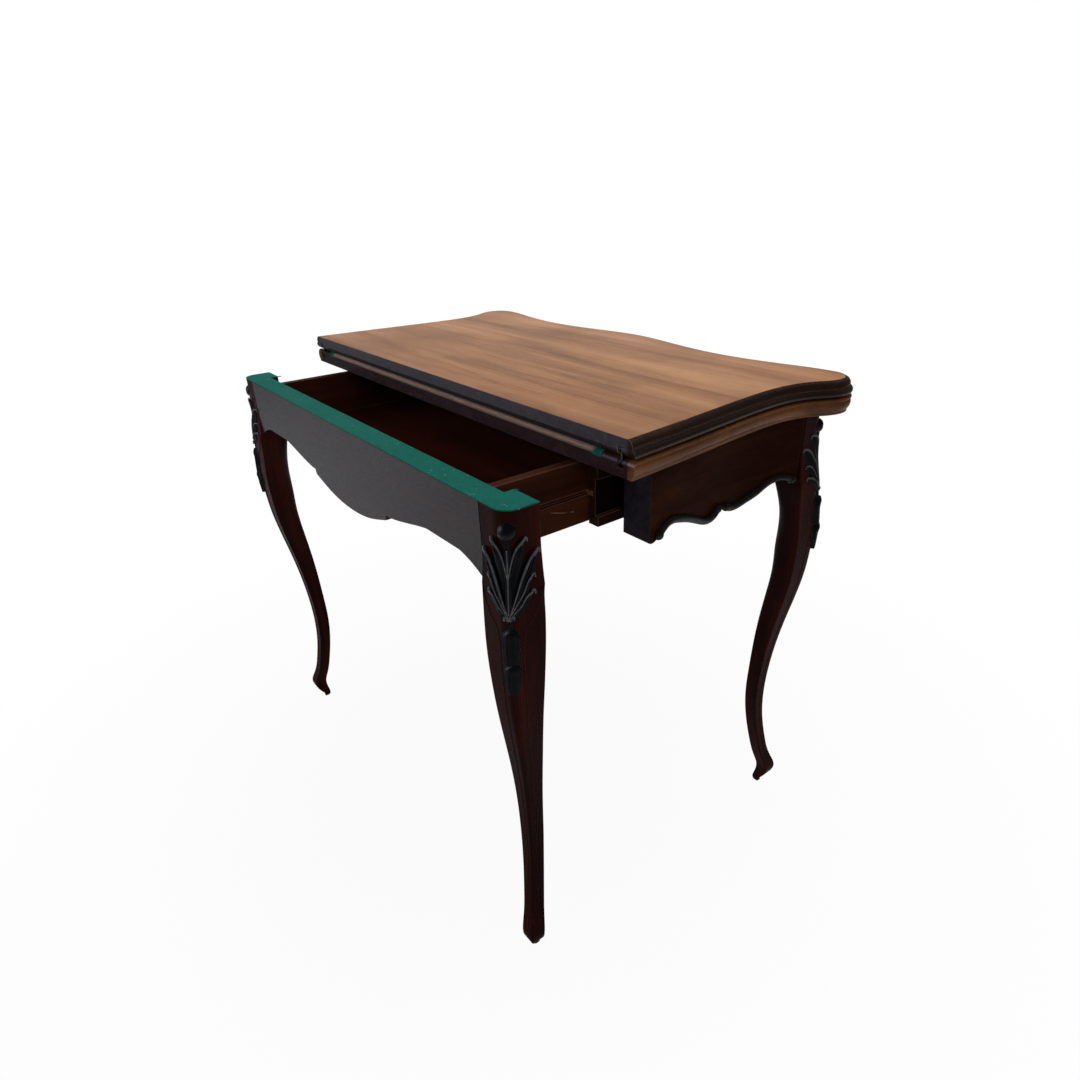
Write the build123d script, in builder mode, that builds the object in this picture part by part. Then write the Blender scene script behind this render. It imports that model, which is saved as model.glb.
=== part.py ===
from build123d import *
from math import sqrt
import os

os.makedirs("parts", exist_ok=True)

# Fold-over card table, in millimetres. +Z is up, X runs along the hinge edge, and the back frame
# draws out towards -Y. It is modelled as it stands with the frame drawn out and the top folded shut.

# Whole table
table_height = 740.0
flat_half_length = 418.0  # centre to the border of the flat face, along the hinge edge
flat_depth = 416.0  # hinge edge to the foremost border of the flat face
moulding_reach = 12.0  # how far the moulding stands out past the flat face
leaf_thickness = 21.5
leaf_gap = 2.2  # between the two playing faces when the top is shut
baize_thickness = 0.8
cut_overrun = 5.0  # how far a cutting shape runs past the wood

# Sliding frame
knob_overhang = 13.94  # how far the knee carvings stand out behind the sliding frame
draw_out = 152.5  # how far the frame stands drawn out
slide_spare = 67.0  # how much further it can be drawn
frame_baize_thickness = 1.2
slide_clearance = 0.5  # between the frame's baize and the leaf above it

# Legs
leg_block = 46.0
leg_corner_radius = 20.0
leg_face_x = 402.0  # centre to the outer face of every leg block
front_leg_face = 394.0  # hinge edge to the front face of the front leg blocks

# Aprons
apron_drop = 95.0  # depth of the aprons where they meet the legs
side_apron_start = 54.0  # hinge edge to the bare end of the side aprons
front_apron_inset = 42.0  # front face of the leg blocks back to the apron's inner face
back_apron_thickness = 20.0
top_strip_width = 33.0
top_strip_thickness = 8.0
tenon_length = 14.0
tenon_thickness = 9.0
tenon_margin = 14.0  # apron's edges to the tenon's

# Tray and rails
tray_outer_x = 327.0
tray_board = 12.0
tray_length = 300.0
tray_height = 80.0
tray_top_below_leaf = 5.0
tray_bottom_thickness = 5.0
tray_bottom_lift = 8.0  # lower edge of the sides to the tray bottom
housing_depth = 5.0
rail_gap = 1.0  # between tray side and rail
rail_thickness = 17.0
rail_height = 77.0
rail_top_below_leaf = 11.0
rail_start = 21.5  # hinge edge to the rail's near end
runner_height = 6.0
runner_length = 15.0
runner_seat = 8.0  # how deep a runner is let into its board
groove_depth = 5.0
groove_play = 0.4
runner_below_leaf = 47.0

# Hinges
pivot_inset = 6.5  # pivot to the playing face and to the back edge of its leaf
hinge_x = 406.0
hinge_width = 10.0
hinge_tail = 40.0
hinge_plate_thickness = 2.2
hinge_eye_radius = 5.0
link_eye_radius = 4.2
link_thickness = 3.0
link_play = 0.35
pin_radius = 1.6
pin_play = 0.08

# Places worked out from the sizes above
hinge_y = (draw_out + knob_overhang - flat_depth - moulding_reach) / 2
lower_face = table_height - leaf_thickness - leaf_gap  # playing face of the fixed leaf
upper_face = table_height - leaf_thickness
carcase_top = lower_face - leaf_thickness
frame_y = hinge_y - draw_out  # outer face of the sliding frame
frame_top = carcase_top - slide_clearance - frame_baize_thickness
leg_inner_x = leg_face_x - leg_block
front_leg_y = hinge_y + front_leg_face
apron_low = carcase_top - apron_drop


sideways = (0, 90, 0)  # turn that lays an upright axis along X


def save(builder, name):
    """Label a finished piece and write it to its own file."""
    builder.part.label = name
    export_step(builder.part, "parts/" + name + ".step")


def save_mirrored(builder, name):
    """Write the left-hand twin of a right-hand piece."""
    with BuildPart() as twin:
        mirror(builder.part, about=Plane.YZ)
    save(twin, name)


# Plan of the top. Sides and front are shares of the flat face's half length and depth.
side_shares = [(1.0, 0.0), (0.979, 0.224), (0.9435, 0.575), (0.976, 0.836)]
front_shares = [(0.765, 0.976), (0.49, 0.943), (0.2, 0.975), (0.0, 0.998)]
top_corner_radius = 30.0
corner_reach_share = 1.013  # widest point of the front corners
side_start_slope = (-0.09, 1.0)


def plan_point(shares, inset_x=0.0, inset_y=0.0):
    """A point of the top's plan, moved in by the given insets."""
    return (flat_half_length * shares[0] - inset_x, hinge_y + flat_depth * shares[1] - inset_y)


def side_line(inset=0.0, start_y=hinge_y):
    """Serpentine right-hand side of the flat face, from the hinge edge to the front corner."""
    points = [plan_point(share, inset) for share in side_shares]
    points[0] = (points[0][0], start_y)
    corner = (flat_half_length * corner_reach_share - inset, hinge_y + flat_depth - top_corner_radius)
    return Spline(*points, corner, tangents=[side_start_slope, (0, 1)])


def front_line(inset=0.0):
    """Serpentine front of the flat face, from the right-hand corner to the centre."""
    points = [plan_point(share, 0, inset) for share in front_shares]
    corner = (flat_half_length * corner_reach_share - top_corner_radius, hinge_y + flat_depth - inset)
    return Spline(corner, *points, tangents=[(-1, 0), (-1, 0)])


def corner_arc():
    """Round front corner between the side line and the front line."""
    centre = (
        flat_half_length * corner_reach_share - top_corner_radius,
        hinge_y + flat_depth - top_corner_radius,
    )
    return CenterArc(centre, top_corner_radius, 0, 90)


def half_plan_lines():
    """Right-hand half of the flat face's border, with its hinge edge and centre line."""
    side_line()
    corner_arc()
    front = front_line()
    centre_front = front @ 1
    Polyline(centre_front, (0, hinge_y), (flat_half_length, hinge_y))


# Leaf panels

pivot_y = hinge_y + pivot_inset
lower_pivot_z = lower_face - pivot_inset
upper_pivot_z = upper_face + pivot_inset


def leaf_blank(low, high):
    """Board with the plan of the flat face, between two levels."""
    with BuildPart() as blank:
        with BuildSketch(Plane.XY.offset(low)):
            with BuildLine():
                half_plan_lines()
            make_face()
            mirror(about=Plane.YZ)
        extrude(amount=high - low)
    return blank.part


def arris_cutter(face_level, pivot_level):
    """What is planed off the back arris of a leaf so that it rolls about its pivot."""
    half_length = flat_half_length + moulding_reach + cut_overrun
    outside = face_level + (face_level - pivot_level)
    with BuildPart() as cutter:
        with BuildSketch(Plane.YZ.offset(-half_length)):
            with Locations((pivot_y - pivot_inset, (pivot_level + outside) / 2)):
                Rectangle(2 * pivot_inset, abs(outside - pivot_level))
            with Locations((pivot_y, pivot_level)):
                Circle(pivot_inset, mode=Mode.SUBTRACT)
        extrude(amount=2 * half_length)
    return cutter.part


def box_between(low, high, mode=Mode.ADD):
    """Box between two opposite corners."""
    centre = tuple((a + b) / 2 for a, b in zip(low, high))
    with Locations(centre):
        Box(*(b - a for a, b in zip(low, high)), mode=mode)


knuckle_reach = pivot_inset + hinge_eye_radius
screw_radius = 1.5
screw_head_radius = 3.0
screw_head_depth = 1.6
hinge_screw_length = 12.0
hinge_screw_shares = (0.52, 0.84)


def hinge_recess(face_level, inward):
    """Cut the recesses for both hinge plates in a leaf. Inward is the way into its wood, +1 up."""
    for side in (-1, 1):
        x_low = side * hinge_x - hinge_width / 2
        x_high = side * hinge_x + hinge_width / 2
        levels = sorted((face_level - inward * cut_overrun, face_level + inward * hinge_plate_thickness))
        tail_end = hinge_y + knuckle_reach + hinge_tail
        box_between(
            (x_low, hinge_y - cut_overrun, levels[0]), (x_high, tail_end, levels[1]), Mode.SUBTRACT
        )
        levels = sorted((face_level - inward * cut_overrun, face_level + inward * knuckle_reach))
        box_between(
            (x_low, hinge_y - cut_overrun, levels[0]),
            (x_high, hinge_y + knuckle_reach, levels[1]),
            Mode.SUBTRACT,
        )


def screw_places(face_level):
    """Heads of the hinge screws of one leaf."""
    return [
        (side * hinge_x, hinge_y + knuckle_reach + hinge_tail * share, face_level)
        for side in (-1, 1)
        for share in hinge_screw_shares
    ]


def hinge_screw_shape(inward, mode):
    """Countersunk screw whose head is level with the plate, at the current locations."""
    turn = 180 if inward < 0 else 0
    with Locations(Rotation(turn, 0, 0)):
        Cylinder(
            screw_radius, hinge_screw_length, align=(Align.CENTER, Align.CENTER, Align.MIN), mode=mode
        )
        Cone(
            screw_head_radius,
            screw_radius,
            screw_head_depth,
            align=(Align.CENTER, Align.CENTER, Align.MIN),
            mode=mode,
        )


top_screw_radius = 2.0
top_screw_grip = 12.0  # how far the top screws reach into the leaf
top_block_shares = (0.19, 0.45, 0.71)  # places of the blocks along the flat depth
block_thickness = leg_inner_x - (tray_outer_x + rail_gap + rail_thickness)
top_block_x = leg_inner_x - block_thickness / 2
top_screw_places = [
    (side * top_block_x, hinge_y + flat_depth * share) for side in (-1, 1) for share in top_block_shares
]

with BuildPart() as lower_leaf_panel:
    add(leaf_blank(carcase_top, lower_face))
    add(arris_cutter(lower_face, lower_pivot_z), mode=Mode.SUBTRACT)
    hinge_recess(lower_face, -1)
    with Locations(*screw_places(lower_face)):
        hinge_screw_shape(-1, Mode.SUBTRACT)
    with Locations(*[(x, y, carcase_top) for x, y in top_screw_places]):
        Cylinder(
            top_screw_radius,
            top_screw_grip,
            align=(Align.CENTER, Align.CENTER, Align.MIN),
            mode=Mode.SUBTRACT,
        )
save(lower_leaf_panel, "lower_leaf_panel")

with BuildPart() as upper_leaf_panel:
    add(leaf_blank(upper_face, table_height))
    add(arris_cutter(upper_face, upper_pivot_z), mode=Mode.SUBTRACT)
    hinge_recess(upper_face, 1)
    with Locations(*screw_places(upper_face)):
        hinge_screw_shape(1, Mode.SUBTRACT)
save(upper_leaf_panel, "upper_leaf_panel")

# Leaf mouldings. Profile points are shares of the moulding's reach and of the leaf's thickness,
# measured outwards from the flat face's border and inwards from the show face.

rebate_shares = [(0.0, 1.0), (0.0, 0.0)]  # glued to the panel's border
flat_end_share = (0.04, 0.0)
ovolo_shares = [(0.1, 0.03), (0.47, 0.14), (0.66, 0.43)]
quirk_shares = [(0.58, 0.47), (0.58, 0.53)]
bead_shares = [(0.7, 0.54), (1.0, 0.77), (0.76, 1.0)]
lower_bead_shares = [(0.8, 1.0), (0.985, 0.905), (0.86, 0.81)]
lower_quirk_share = (0.8, 0.79)
lower_ovolo_shares = [(0.88, 0.77), (0.96, 0.5), (0.74, 0.2)]
lower_fillet_shares = [(0.66, 0.19), (0.66, 0.0)]


def moulding_point(shares, show_level, inward):
    """Profile point in the plane across the moulding at the hinge edge."""
    return (
        flat_half_length + moulding_reach * shares[0],
        show_level + inward * leaf_thickness * shares[1],
    )


def moulding_path():
    """Border of the flat face from hinge edge round the front to the hinge edge."""
    with BuildLine() as path:
        side_line(start_y=hinge_y - cut_overrun)
        corner_arc()
        front_line()
        mirror(about=Plane.YZ)
    return path.wires()[0]


def upper_profile():
    """Ovolo, quirk and bead of the upper leaf's moulding."""
    ovolo, quirk, bead, back = (
        [moulding_point(share, table_height, -1) for share in shares]
        for shares in (ovolo_shares, quirk_shares, bead_shares, rebate_shares)
    )
    ThreePointArc(*ovolo)
    Polyline(ovolo[2], *quirk, bead[0])
    ThreePointArc(*bead)
    Polyline(bead[2], *back, moulding_point(flat_end_share, table_height, -1), ovolo[0])


def lower_profile():
    """Thin bead over a wide ovolo and a fillet, the lower leaf's moulding."""
    bead, ovolo, fillet_line, back = (
        [moulding_point(share, carcase_top, 1) for share in shares]
        for shares in (lower_bead_shares, lower_ovolo_shares, lower_fillet_shares, rebate_shares)
    )
    ThreePointArc(*bead)
    Polyline(bead[2], moulding_point(lower_quirk_share, carcase_top, 1), ovolo[0])
    ThreePointArc(*ovolo)
    Polyline(ovolo[2], *fillet_line, back[1], back[0], bead[0])


def leaf_moulding(profile, face_level, pivot_level):
    """Moulded lipping swept round three sides and cut off at the hinge edge."""
    with BuildPart() as moulding:
        with BuildSketch(Plane.XZ.offset(cut_overrun - hinge_y)):
            with BuildLine():
                profile()
            make_face()
        sweep(path=moulding_path())
        behind = 2 * cut_overrun
        box_between(
            (-flat_half_length - 2 * moulding_reach, hinge_y - behind, carcase_top - cut_overrun),
            (flat_half_length + 2 * moulding_reach, hinge_y, table_height + cut_overrun),
            Mode.SUBTRACT,
        )
        add(arris_cutter(face_level, pivot_level), mode=Mode.SUBTRACT)
    return moulding


upper_leaf_moulding = leaf_moulding(upper_profile, upper_face, upper_pivot_z)
save(upper_leaf_moulding, "upper_leaf_moulding")
lower_leaf_moulding = leaf_moulding(lower_profile, lower_face, lower_pivot_z)
save(lower_leaf_moulding, "lower_leaf_moulding")

# Playing cloth of both leaves, glued down and turned over the back arris

baize_border = 42.0  # bare wood left round the cloth


def cloth_side_lines():
    """Region between the centre line and a line that follows the side."""
    side = side_line(baize_border)
    Polyline(side @ 1, (0, (side @ 1).Y), (0, hinge_y), side @ 0)


def cloth_front_lines():
    """Region between the hinge edge and a line that follows the front."""
    front = front_line(baize_border)
    Polyline(front @ 1, (0, hinge_y), ((front @ 0).X, hinge_y), front @ 0)


def leaf_baize(face_level, pivot_level):
    """Sheet of cloth that follows the top's plan and folds a quarter turn over the back arris."""
    outward = 1 if face_level > pivot_level else -1
    fold_half = flat_half_length - baize_border
    with BuildPart() as baize:
        with BuildSketch(Plane.XY.offset(face_level)):
            with BuildLine():
                cloth_side_lines()
            make_face()
            with BuildLine():
                cloth_front_lines()
            make_face(mode=Mode.INTERSECT)
            mirror(about=Plane.YZ)
        extrude(amount=outward * baize_thickness)
        box_between(
            (-flat_half_length, hinge_y - cut_overrun, face_level - cut_overrun),
            (flat_half_length, pivot_y, face_level + cut_overrun),
            Mode.SUBTRACT,
        )
        with BuildSketch(Plane.YZ.offset(-fold_half)):
            with Locations((pivot_y, pivot_level)):
                Circle(pivot_inset + baize_thickness)
                Circle(pivot_inset, mode=Mode.SUBTRACT)
            with Locations((pivot_y - pivot_inset, pivot_level + outward * pivot_inset)):
                Rectangle(2 * pivot_inset, 2 * pivot_inset, mode=Mode.INTERSECT)
        extrude(amount=2 * fold_half)
    return baize


lower_leaf_baize = leaf_baize(lower_face, lower_pivot_z)
save(lower_leaf_baize, "lower_leaf_baize")
upper_leaf_baize = leaf_baize(upper_face, upper_pivot_z)
save(upper_leaf_baize, "upper_leaf_baize")

# Hinges: a plate with two ears in each leaf, joined by a link with a pin at each end

ear_slot = link_thickness + 2 * link_play
slot_reach = pivot_inset + link_eye_radius + link_play


def hinge_plates(face_level, inward):
    """The two plates of one leaf."""
    pivot_level = face_level + inward * pivot_inset
    plate_levels = sorted((face_level, face_level + inward * hinge_plate_thickness))
    web_levels = sorted((face_level + inward * hinge_plate_thickness / 2, pivot_level))
    with BuildPart() as plates:
        for side in (-1, 1):
            x_low = side * hinge_x - hinge_width / 2
            x_high = side * hinge_x + hinge_width / 2
            box_between(
                (x_low, pivot_y, plate_levels[0]),
                (x_high, hinge_y + knuckle_reach + hinge_tail, plate_levels[1]),
            )
            box_between(
                (x_low, pivot_y, web_levels[0]),
                (x_high, hinge_y + knuckle_reach, web_levels[1]),
            )
            with BuildSketch(Plane.YZ.offset(x_low)):
                with Locations((pivot_y, pivot_level)):
                    Circle(hinge_eye_radius)
            extrude(amount=hinge_width)
            box_between(
                (side * hinge_x - ear_slot / 2, hinge_y - cut_overrun, face_level - knuckle_reach),
                (side * hinge_x + ear_slot / 2, hinge_y + slot_reach, face_level + knuckle_reach),
                Mode.SUBTRACT,
            )
            with BuildSketch(Plane.YZ.offset(x_low)):
                with Locations((pivot_y, pivot_level)):
                    Circle(pin_radius + pin_play)
            extrude(amount=hinge_width, mode=Mode.SUBTRACT)
        with Locations(*screw_places(face_level)):
            hinge_screw_shape(inward, Mode.SUBTRACT)
    return plates


lower_hinge_plates = hinge_plates(lower_face, -1)
save(lower_hinge_plates, "lower_hinge_plates")
upper_hinge_plates = hinge_plates(upper_face, 1)
save(upper_hinge_plates, "upper_hinge_plates")

with BuildPart() as hinge_links:
    for side in (-1, 1):
        with BuildSketch(Plane.YZ.offset(side * hinge_x - link_thickness / 2)):
            with Locations((pivot_y, (lower_pivot_z + upper_pivot_z) / 2)):
                SlotCenterToCenter(upper_pivot_z - lower_pivot_z, 2 * link_eye_radius, rotation=90)
            with Locations((pivot_y, lower_pivot_z), (pivot_y, upper_pivot_z)):
                Circle(pin_radius, mode=Mode.SUBTRACT)
        extrude(amount=link_thickness)
save(hinge_links, "hinge_links")

with BuildPart() as hinge_pins:
    for side in (-1, 1):
        with BuildSketch(Plane.YZ.offset(side * hinge_x - hinge_width / 2)):
            with Locations((pivot_y, lower_pivot_z), (pivot_y, upper_pivot_z)):
                Circle(pin_radius)
        extrude(amount=hinge_width)
save(hinge_pins, "hinge_pins")

with BuildPart() as lower_hinge_screws:
    with Locations(*screw_places(lower_face)):
        hinge_screw_shape(-1, Mode.ADD)
save(lower_hinge_screws, "lower_hinge_screws")

with BuildPart() as upper_hinge_screws:
    with Locations(*screw_places(upper_face)):
        hinge_screw_shape(1, Mode.ADD)
save(upper_hinge_screws, "upper_hinge_screws")

# Cabriole legs. A station gives shares of the leg's height and of its block's width: level, how far
# the outer corner stands outside the block, side, outer corner radius, inner corner radius.

cabriole_stations = [
    (0.0, -0.2894, 0.196, 0.043, 0.043),
    (0.0259, -0.1019, 0.402, 0.054, 0.065),
    (0.0518, 0.0365, 0.511, 0.054, 0.065),
    (0.0864, -0.105, 0.489, 0.065, 0.065),
    (0.1439, -0.3063, 0.467, 0.065, 0.065),
    (0.2159, -0.4524, 0.478, 0.065, 0.065),
    (0.2879, -0.4985, 0.507, 0.065, 0.065),
    (0.3598, -0.4554, 0.543, 0.076, 0.087),
    (0.4318, -0.3524, 0.609, 0.087, 0.087),
    (0.5037, -0.1941, 0.707, 0.109, 0.109),
    (0.5757, -0.0035, 0.815, 0.152, 0.174),
    (0.6362, 0.1241, 0.913, 0.196, 0.304),
    (0.6908, 0.184, 1.0, 0.239, 0.391),
    (0.734, 0.2056, 1.054, 0.261, 0.565),
    (0.7772, 0.1871, 1.087, 0.304, 0.652),
    (0.8204, 0.1533, 1.087, 0.348, 0.391),
    (0.8636, 0.0933, 1.0933, 0.391, 0.054),
]
block_stations = [
    (0.8636, 0.0933, 1.0933, 0.391, 0.054),
    (0.8923, 0.0426, 1.0426, 0.413, 0.054),
    (0.9355, 0.0, 1.0, 0.4348, 0.054),
    (1.0, 0.0, 1.0, 0.4348, 0.054),
]
side_arris_share = 0.045


def leg_section(station, thickness=0.0):
    """Rounded square of a leg at one station, its block corner over the origin, grown by a thickness."""
    out, side, outer_radius, inner_radius = (leg_block * share for share in station[1:])
    middle = out - side / 2
    with BuildSketch(Plane.XY.offset(carcase_top * station[0])) as section:
        with Locations((middle, middle)):
            Rectangle(side + 2 * thickness, side + 2 * thickness)
        knee_way = Axis((0, 0, 0), (1, 1, 0))
        side_way = Axis((0, 0, 0), (1, -1, 0))
        fillet(section.vertices().sort_by(knee_way)[-1], outer_radius + thickness)
        fillet(section.vertices().sort_by(knee_way)[0], inner_radius + thickness)
        fillet(section.vertices().sort_by(side_way)[0], leg_block * side_arris_share + thickness)
        fillet(section.vertices().sort_by(side_way)[-1], leg_block * side_arris_share + thickness)
    return section.sketch


def leg_shape(top):
    """Leg with its block corner over the origin and its knee looking towards +X and +Y."""
    with BuildPart() as leg:
        loft(sections=[leg_section(station) for station in cabriole_stations])
        loft(sections=[leg_section(station) for station in block_stations[:3]])
        loft(sections=[leg_section(station) for station in block_stations[2:]])
        box_between(
            (-2 * leg_block, -2 * leg_block, top),
            (leg_block, leg_block, table_height),
            Mode.SUBTRACT,
        )
    return leg.part


front_leg_blank = leg_shape(carcase_top)
back_leg_blank = leg_shape(frame_top)

# Mortise and tenon joints between aprons and legs

tenon_setback = 16.0  # inner face of the front and side aprons to their tenons
tenon_low = apron_low + tenon_margin
tenon_high = carcase_top - tenon_margin
front_apron_y = front_leg_y - front_apron_inset  # inner face of the front apron
side_tenon_x = leg_inner_x + tenon_setback
front_tenon_y = front_apron_y + tenon_setback
back_tenon_y = frame_y + (back_apron_thickness - tenon_thickness) / 2
leg_back_y = front_leg_y - leg_block  # face of the front legs that the side aprons meet


def side_tenon(mode):
    """Tenon of the right-hand side apron, or its mortise."""
    box_between(
        (side_tenon_x, leg_back_y, tenon_low),
        (side_tenon_x + tenon_thickness, leg_back_y + tenon_length, tenon_high),
        mode,
    )


def front_tenon(mode):
    """Right-hand tenon of the front apron, or its mortise."""
    box_between(
        (leg_inner_x, front_tenon_y, tenon_low),
        (leg_inner_x + tenon_length, front_tenon_y + tenon_thickness, tenon_high),
        mode,
    )


def back_tenon(mode):
    """Right-hand tenon of the back apron, or its mortise."""
    box_between(
        (leg_inner_x, back_tenon_y, tenon_low),
        (leg_inner_x + tenon_length, back_tenon_y + tenon_thickness, tenon_high - tenon_margin),
        mode,
    )


front_place = Location((leg_face_x, front_leg_y, 0))
back_place = Location((leg_face_x, frame_y, 0))

with BuildPart() as front_leg_right:
    add(front_leg_blank.moved(front_place))
    side_tenon(Mode.SUBTRACT)
    front_tenon(Mode.SUBTRACT)
save(front_leg_right, "front_leg_right")
save_mirrored(front_leg_right, "front_leg_left")

with BuildPart() as back_leg_right:
    add(back_leg_blank.mirror(Plane.XZ).moved(back_place))
    back_tenon(Mode.SUBTRACT)
save(back_leg_right, "back_leg_right")
save_mirrored(back_leg_right, "back_leg_left")

# Knee carvings: a bud over a fan of leaves on a stem, and two husks below. Outlines are drawn on the
# diagonal plane through the knee; each leaf has an upper and a lower edge that meet at its tip.

carving_half_width = 28.0
carving_height = 202.0
carving_foot = 479.0
leaf_relief = 2.4
rib_relief = 3.6
husk_relief = 4.6
bud_radius = 9.5
bud_sink = 2.0  # how far the bud's centre lies under the leg's face
bud_share = 0.95
stem_half_share = 0.12
stem_shares = (0.39, 0.93)
rib_fullness = 0.38  # share of a leaf's width taken by the rib along its upper edge
collar_half_share = 0.2
collar_shares = (0.472, 0.487)
leaf_edges = [
    (
        [(0.607, 0.896), (0.321, 0.856), (0.143, 0.797), (0.0, 0.688)],
        [(0.607, 0.896), (0.589, 0.847), (0.429, 0.748), (0.0, 0.599)],
    ),
    (
        [(1.0, 0.812), (0.75, 0.777), (0.464, 0.688), (0.25, 0.589), (0.0, 0.475)],
        [(1.0, 0.812), (0.982, 0.757), (0.821, 0.673), (0.536, 0.569), (0.0, 0.445)],
    ),
    (
        [(0.821, 0.683), (0.679, 0.658), (0.5, 0.599), (0.071, 0.5)],
        [(0.821, 0.683), (0.804, 0.649), (0.607, 0.579), (0.071, 0.46)],
    ),
    (
        [(0.821, 0.594), (0.643, 0.584), (0.429, 0.54), (0.0, 0.475)],
        [(0.821, 0.594), (0.714, 0.545), (0.429, 0.49), (0.0, 0.43)],
    ),
]
husk_outlines = [
    [(0.32, 0.203), (0.36, 0.3), (0.28, 0.385), (0.0, 0.42)],
    [(0.2, 0.0), (0.34, 0.09), (0.3, 0.175), (0.0, 0.205)],
]
carving_plane = Plane(
    origin=(-leg_block / 2, -leg_block / 2, 0), x_dir=(-1, 1, 0), z_dir=(1, 1, 0)
)
carving_reach = 2 * leg_block


def carving_point(shares, side):
    """Point of the carving's outline on the diagonal plane."""
    return (side * carving_half_width * shares[0], carving_foot + carving_height * shares[1])


def leaf_lines(upper, lower, fullness, side):
    """Outline of one leaf of the fan, or of the rib along its upper edge."""
    inner = [
        tuple(a + (b - a) * fullness for a, b in zip(high, low)) for high, low in zip(upper, lower)
    ]
    edge = Spline(*[carving_point(share, side) for share in upper])
    lower_edge = Spline(*[carving_point(share, side) for share in inner])
    Line(edge @ 1, lower_edge @ 1)


def upright_box(half_share, shares):
    """Rectangle on the diagonal plane between two heights."""
    low = carving_point((0, shares[0]), 1)[1]
    high = carving_point((0, shares[1]), 1)[1]
    with Locations((0, (low + high) / 2)):
        Rectangle(2 * half_share * carving_half_width, high - low)


def relief_shell(thickness):
    """Skin of an even thickness over the upper half of a leg."""
    stations = cabriole_stations[9:-1] + block_stations
    with BuildPart() as shell:
        loft(sections=[leg_section(station, thickness) for station in stations])
        add(front_leg_blank, mode=Mode.SUBTRACT)
    return shell.part


with BuildPart() as leaf_layer:
    with BuildSketch(carving_plane):
        for side in (-1, 1):
            for upper, lower in leaf_edges:
                with BuildLine():
                    leaf_lines(upper, lower, 1, side)
                make_face()
        upright_box(stem_half_share, stem_shares)
    extrude(amount=carving_reach)
    add(relief_shell(leaf_relief), mode=Mode.INTERSECT)

with BuildPart() as rib_layer:
    with BuildSketch(carving_plane):
        for side in (-1, 1):
            for upper, lower in leaf_edges:
                with BuildLine():
                    leaf_lines(upper, lower, rib_fullness, side)
                make_face()
        upright_box(stem_half_share / 2, stem_shares)
    extrude(amount=carving_reach)
    add(relief_shell(rib_relief), mode=Mode.INTERSECT)

with BuildPart() as husk_layer:
    with BuildSketch(carving_plane):
        for outline in husk_outlines:
            with BuildLine():
                right = [carving_point(share, 1) for share in outline]
                left = [carving_point(share, -1) for share in outline]
                Spline(*right)
                Spline(*left)
                Line(right[0], left[0])
            make_face()
        upright_box(collar_half_share, collar_shares)
    extrude(amount=carving_reach)
    add(relief_shell(husk_relief), mode=Mode.INTERSECT)

corner_radius = leg_block * block_stations[-1][3]
bud_depth = corner_radius * (1 - 1 / sqrt(2)) + bud_sink / sqrt(2)

with BuildPart() as knee_carving:
    add(leaf_layer.part)
    add(rib_layer.part)
    add(husk_layer.part)
    with Locations((-bud_depth, -bud_depth, carving_foot + carving_height * bud_share)):
        Sphere(bud_radius)
    add(front_leg_blank, mode=Mode.SUBTRACT)

with BuildPart() as front_carving_right:
    add(knee_carving.part.moved(front_place))
save(front_carving_right, "front_carving_right")
save_mirrored(front_carving_right, "front_carving_left")

with BuildPart() as back_carving_right:
    add(knee_carving.part.mirror(Plane.XZ).moved(back_place))
save(back_carving_right, "back_carving_right")
save_mirrored(back_carving_right, "back_carving_left")

# Places of the tray, its runners, the rails and the blocks behind them

tray_back_y = frame_y + back_apron_thickness
tray_start_y = tray_back_y - housing_depth
tray_front_y = tray_back_y + tray_length
tray_top = carcase_top - tray_top_below_leaf
tray_low = tray_top - tray_height
strip_low = frame_top - top_strip_thickness
strip_y = frame_y + top_strip_width
tray_inner_x = tray_outer_x - tray_board
tray_bottom_low = tray_low + tray_bottom_lift
tray_end_y = tray_front_y - tray_board
runner_level = carcase_top - runner_below_leaf
groove_height = runner_height + groove_play
rail_inner_x = tray_outer_x + rail_gap
rail_outer_x = rail_inner_x + rail_thickness
rail_y = hinge_y + rail_start
tray_groove_end = rail_y + runner_length + slide_spare
tray_runner_y = tray_front_y - runner_length
rail_groove_start = tray_runner_y - slide_spare
tray_runner_seat = 6.0  # how deep the tray's runner is let into its side
rail_top = carcase_top - rail_top_below_leaf
rail_low = rail_top - rail_height
channel_shares = (0.17, 0.8)  # the wide channel's edges over the rail's height
channel_depth = 5.0
channel_low = rail_low + rail_height * channel_shares[0]
channel_high = rail_low + rail_height * channel_shares[1]
channel_x = rail_outer_x - channel_depth
block_length = 35.0
top_block_height = 24.0
rail_screw_drop = 16.0  # runner level down to the rail screws
rail_screw_level = runner_level - rail_screw_drop
rail_screw_grip = 12.0
block_places = [hinge_y + flat_depth * share for share in top_block_shares]
corner_block_leg = 28.0
corner_block_height = 50.0


def rail_screw_shape(mode):
    """Countersunk screw from the rail's inner face out into the side apron."""
    with Locations(*[Location((rail_inner_x, y, rail_screw_level), sideways) for y in block_places]):
        Cylinder(
            top_screw_radius,
            leg_inner_x + rail_screw_grip - rail_inner_x,
            align=(Align.CENTER, Align.CENTER, Align.MIN),
            mode=mode,
        )
        Cone(
            screw_head_radius,
            top_screw_radius,
            screw_head_depth,
            align=(Align.CENTER, Align.CENTER, Align.MIN),
            mode=mode,
        )


# Side and front aprons, flat inside and serpentine outside. Plan points are shares of the apron's
# run and of the leg block's width; lower edge points are shares of the run and of the apron's drop.

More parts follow.
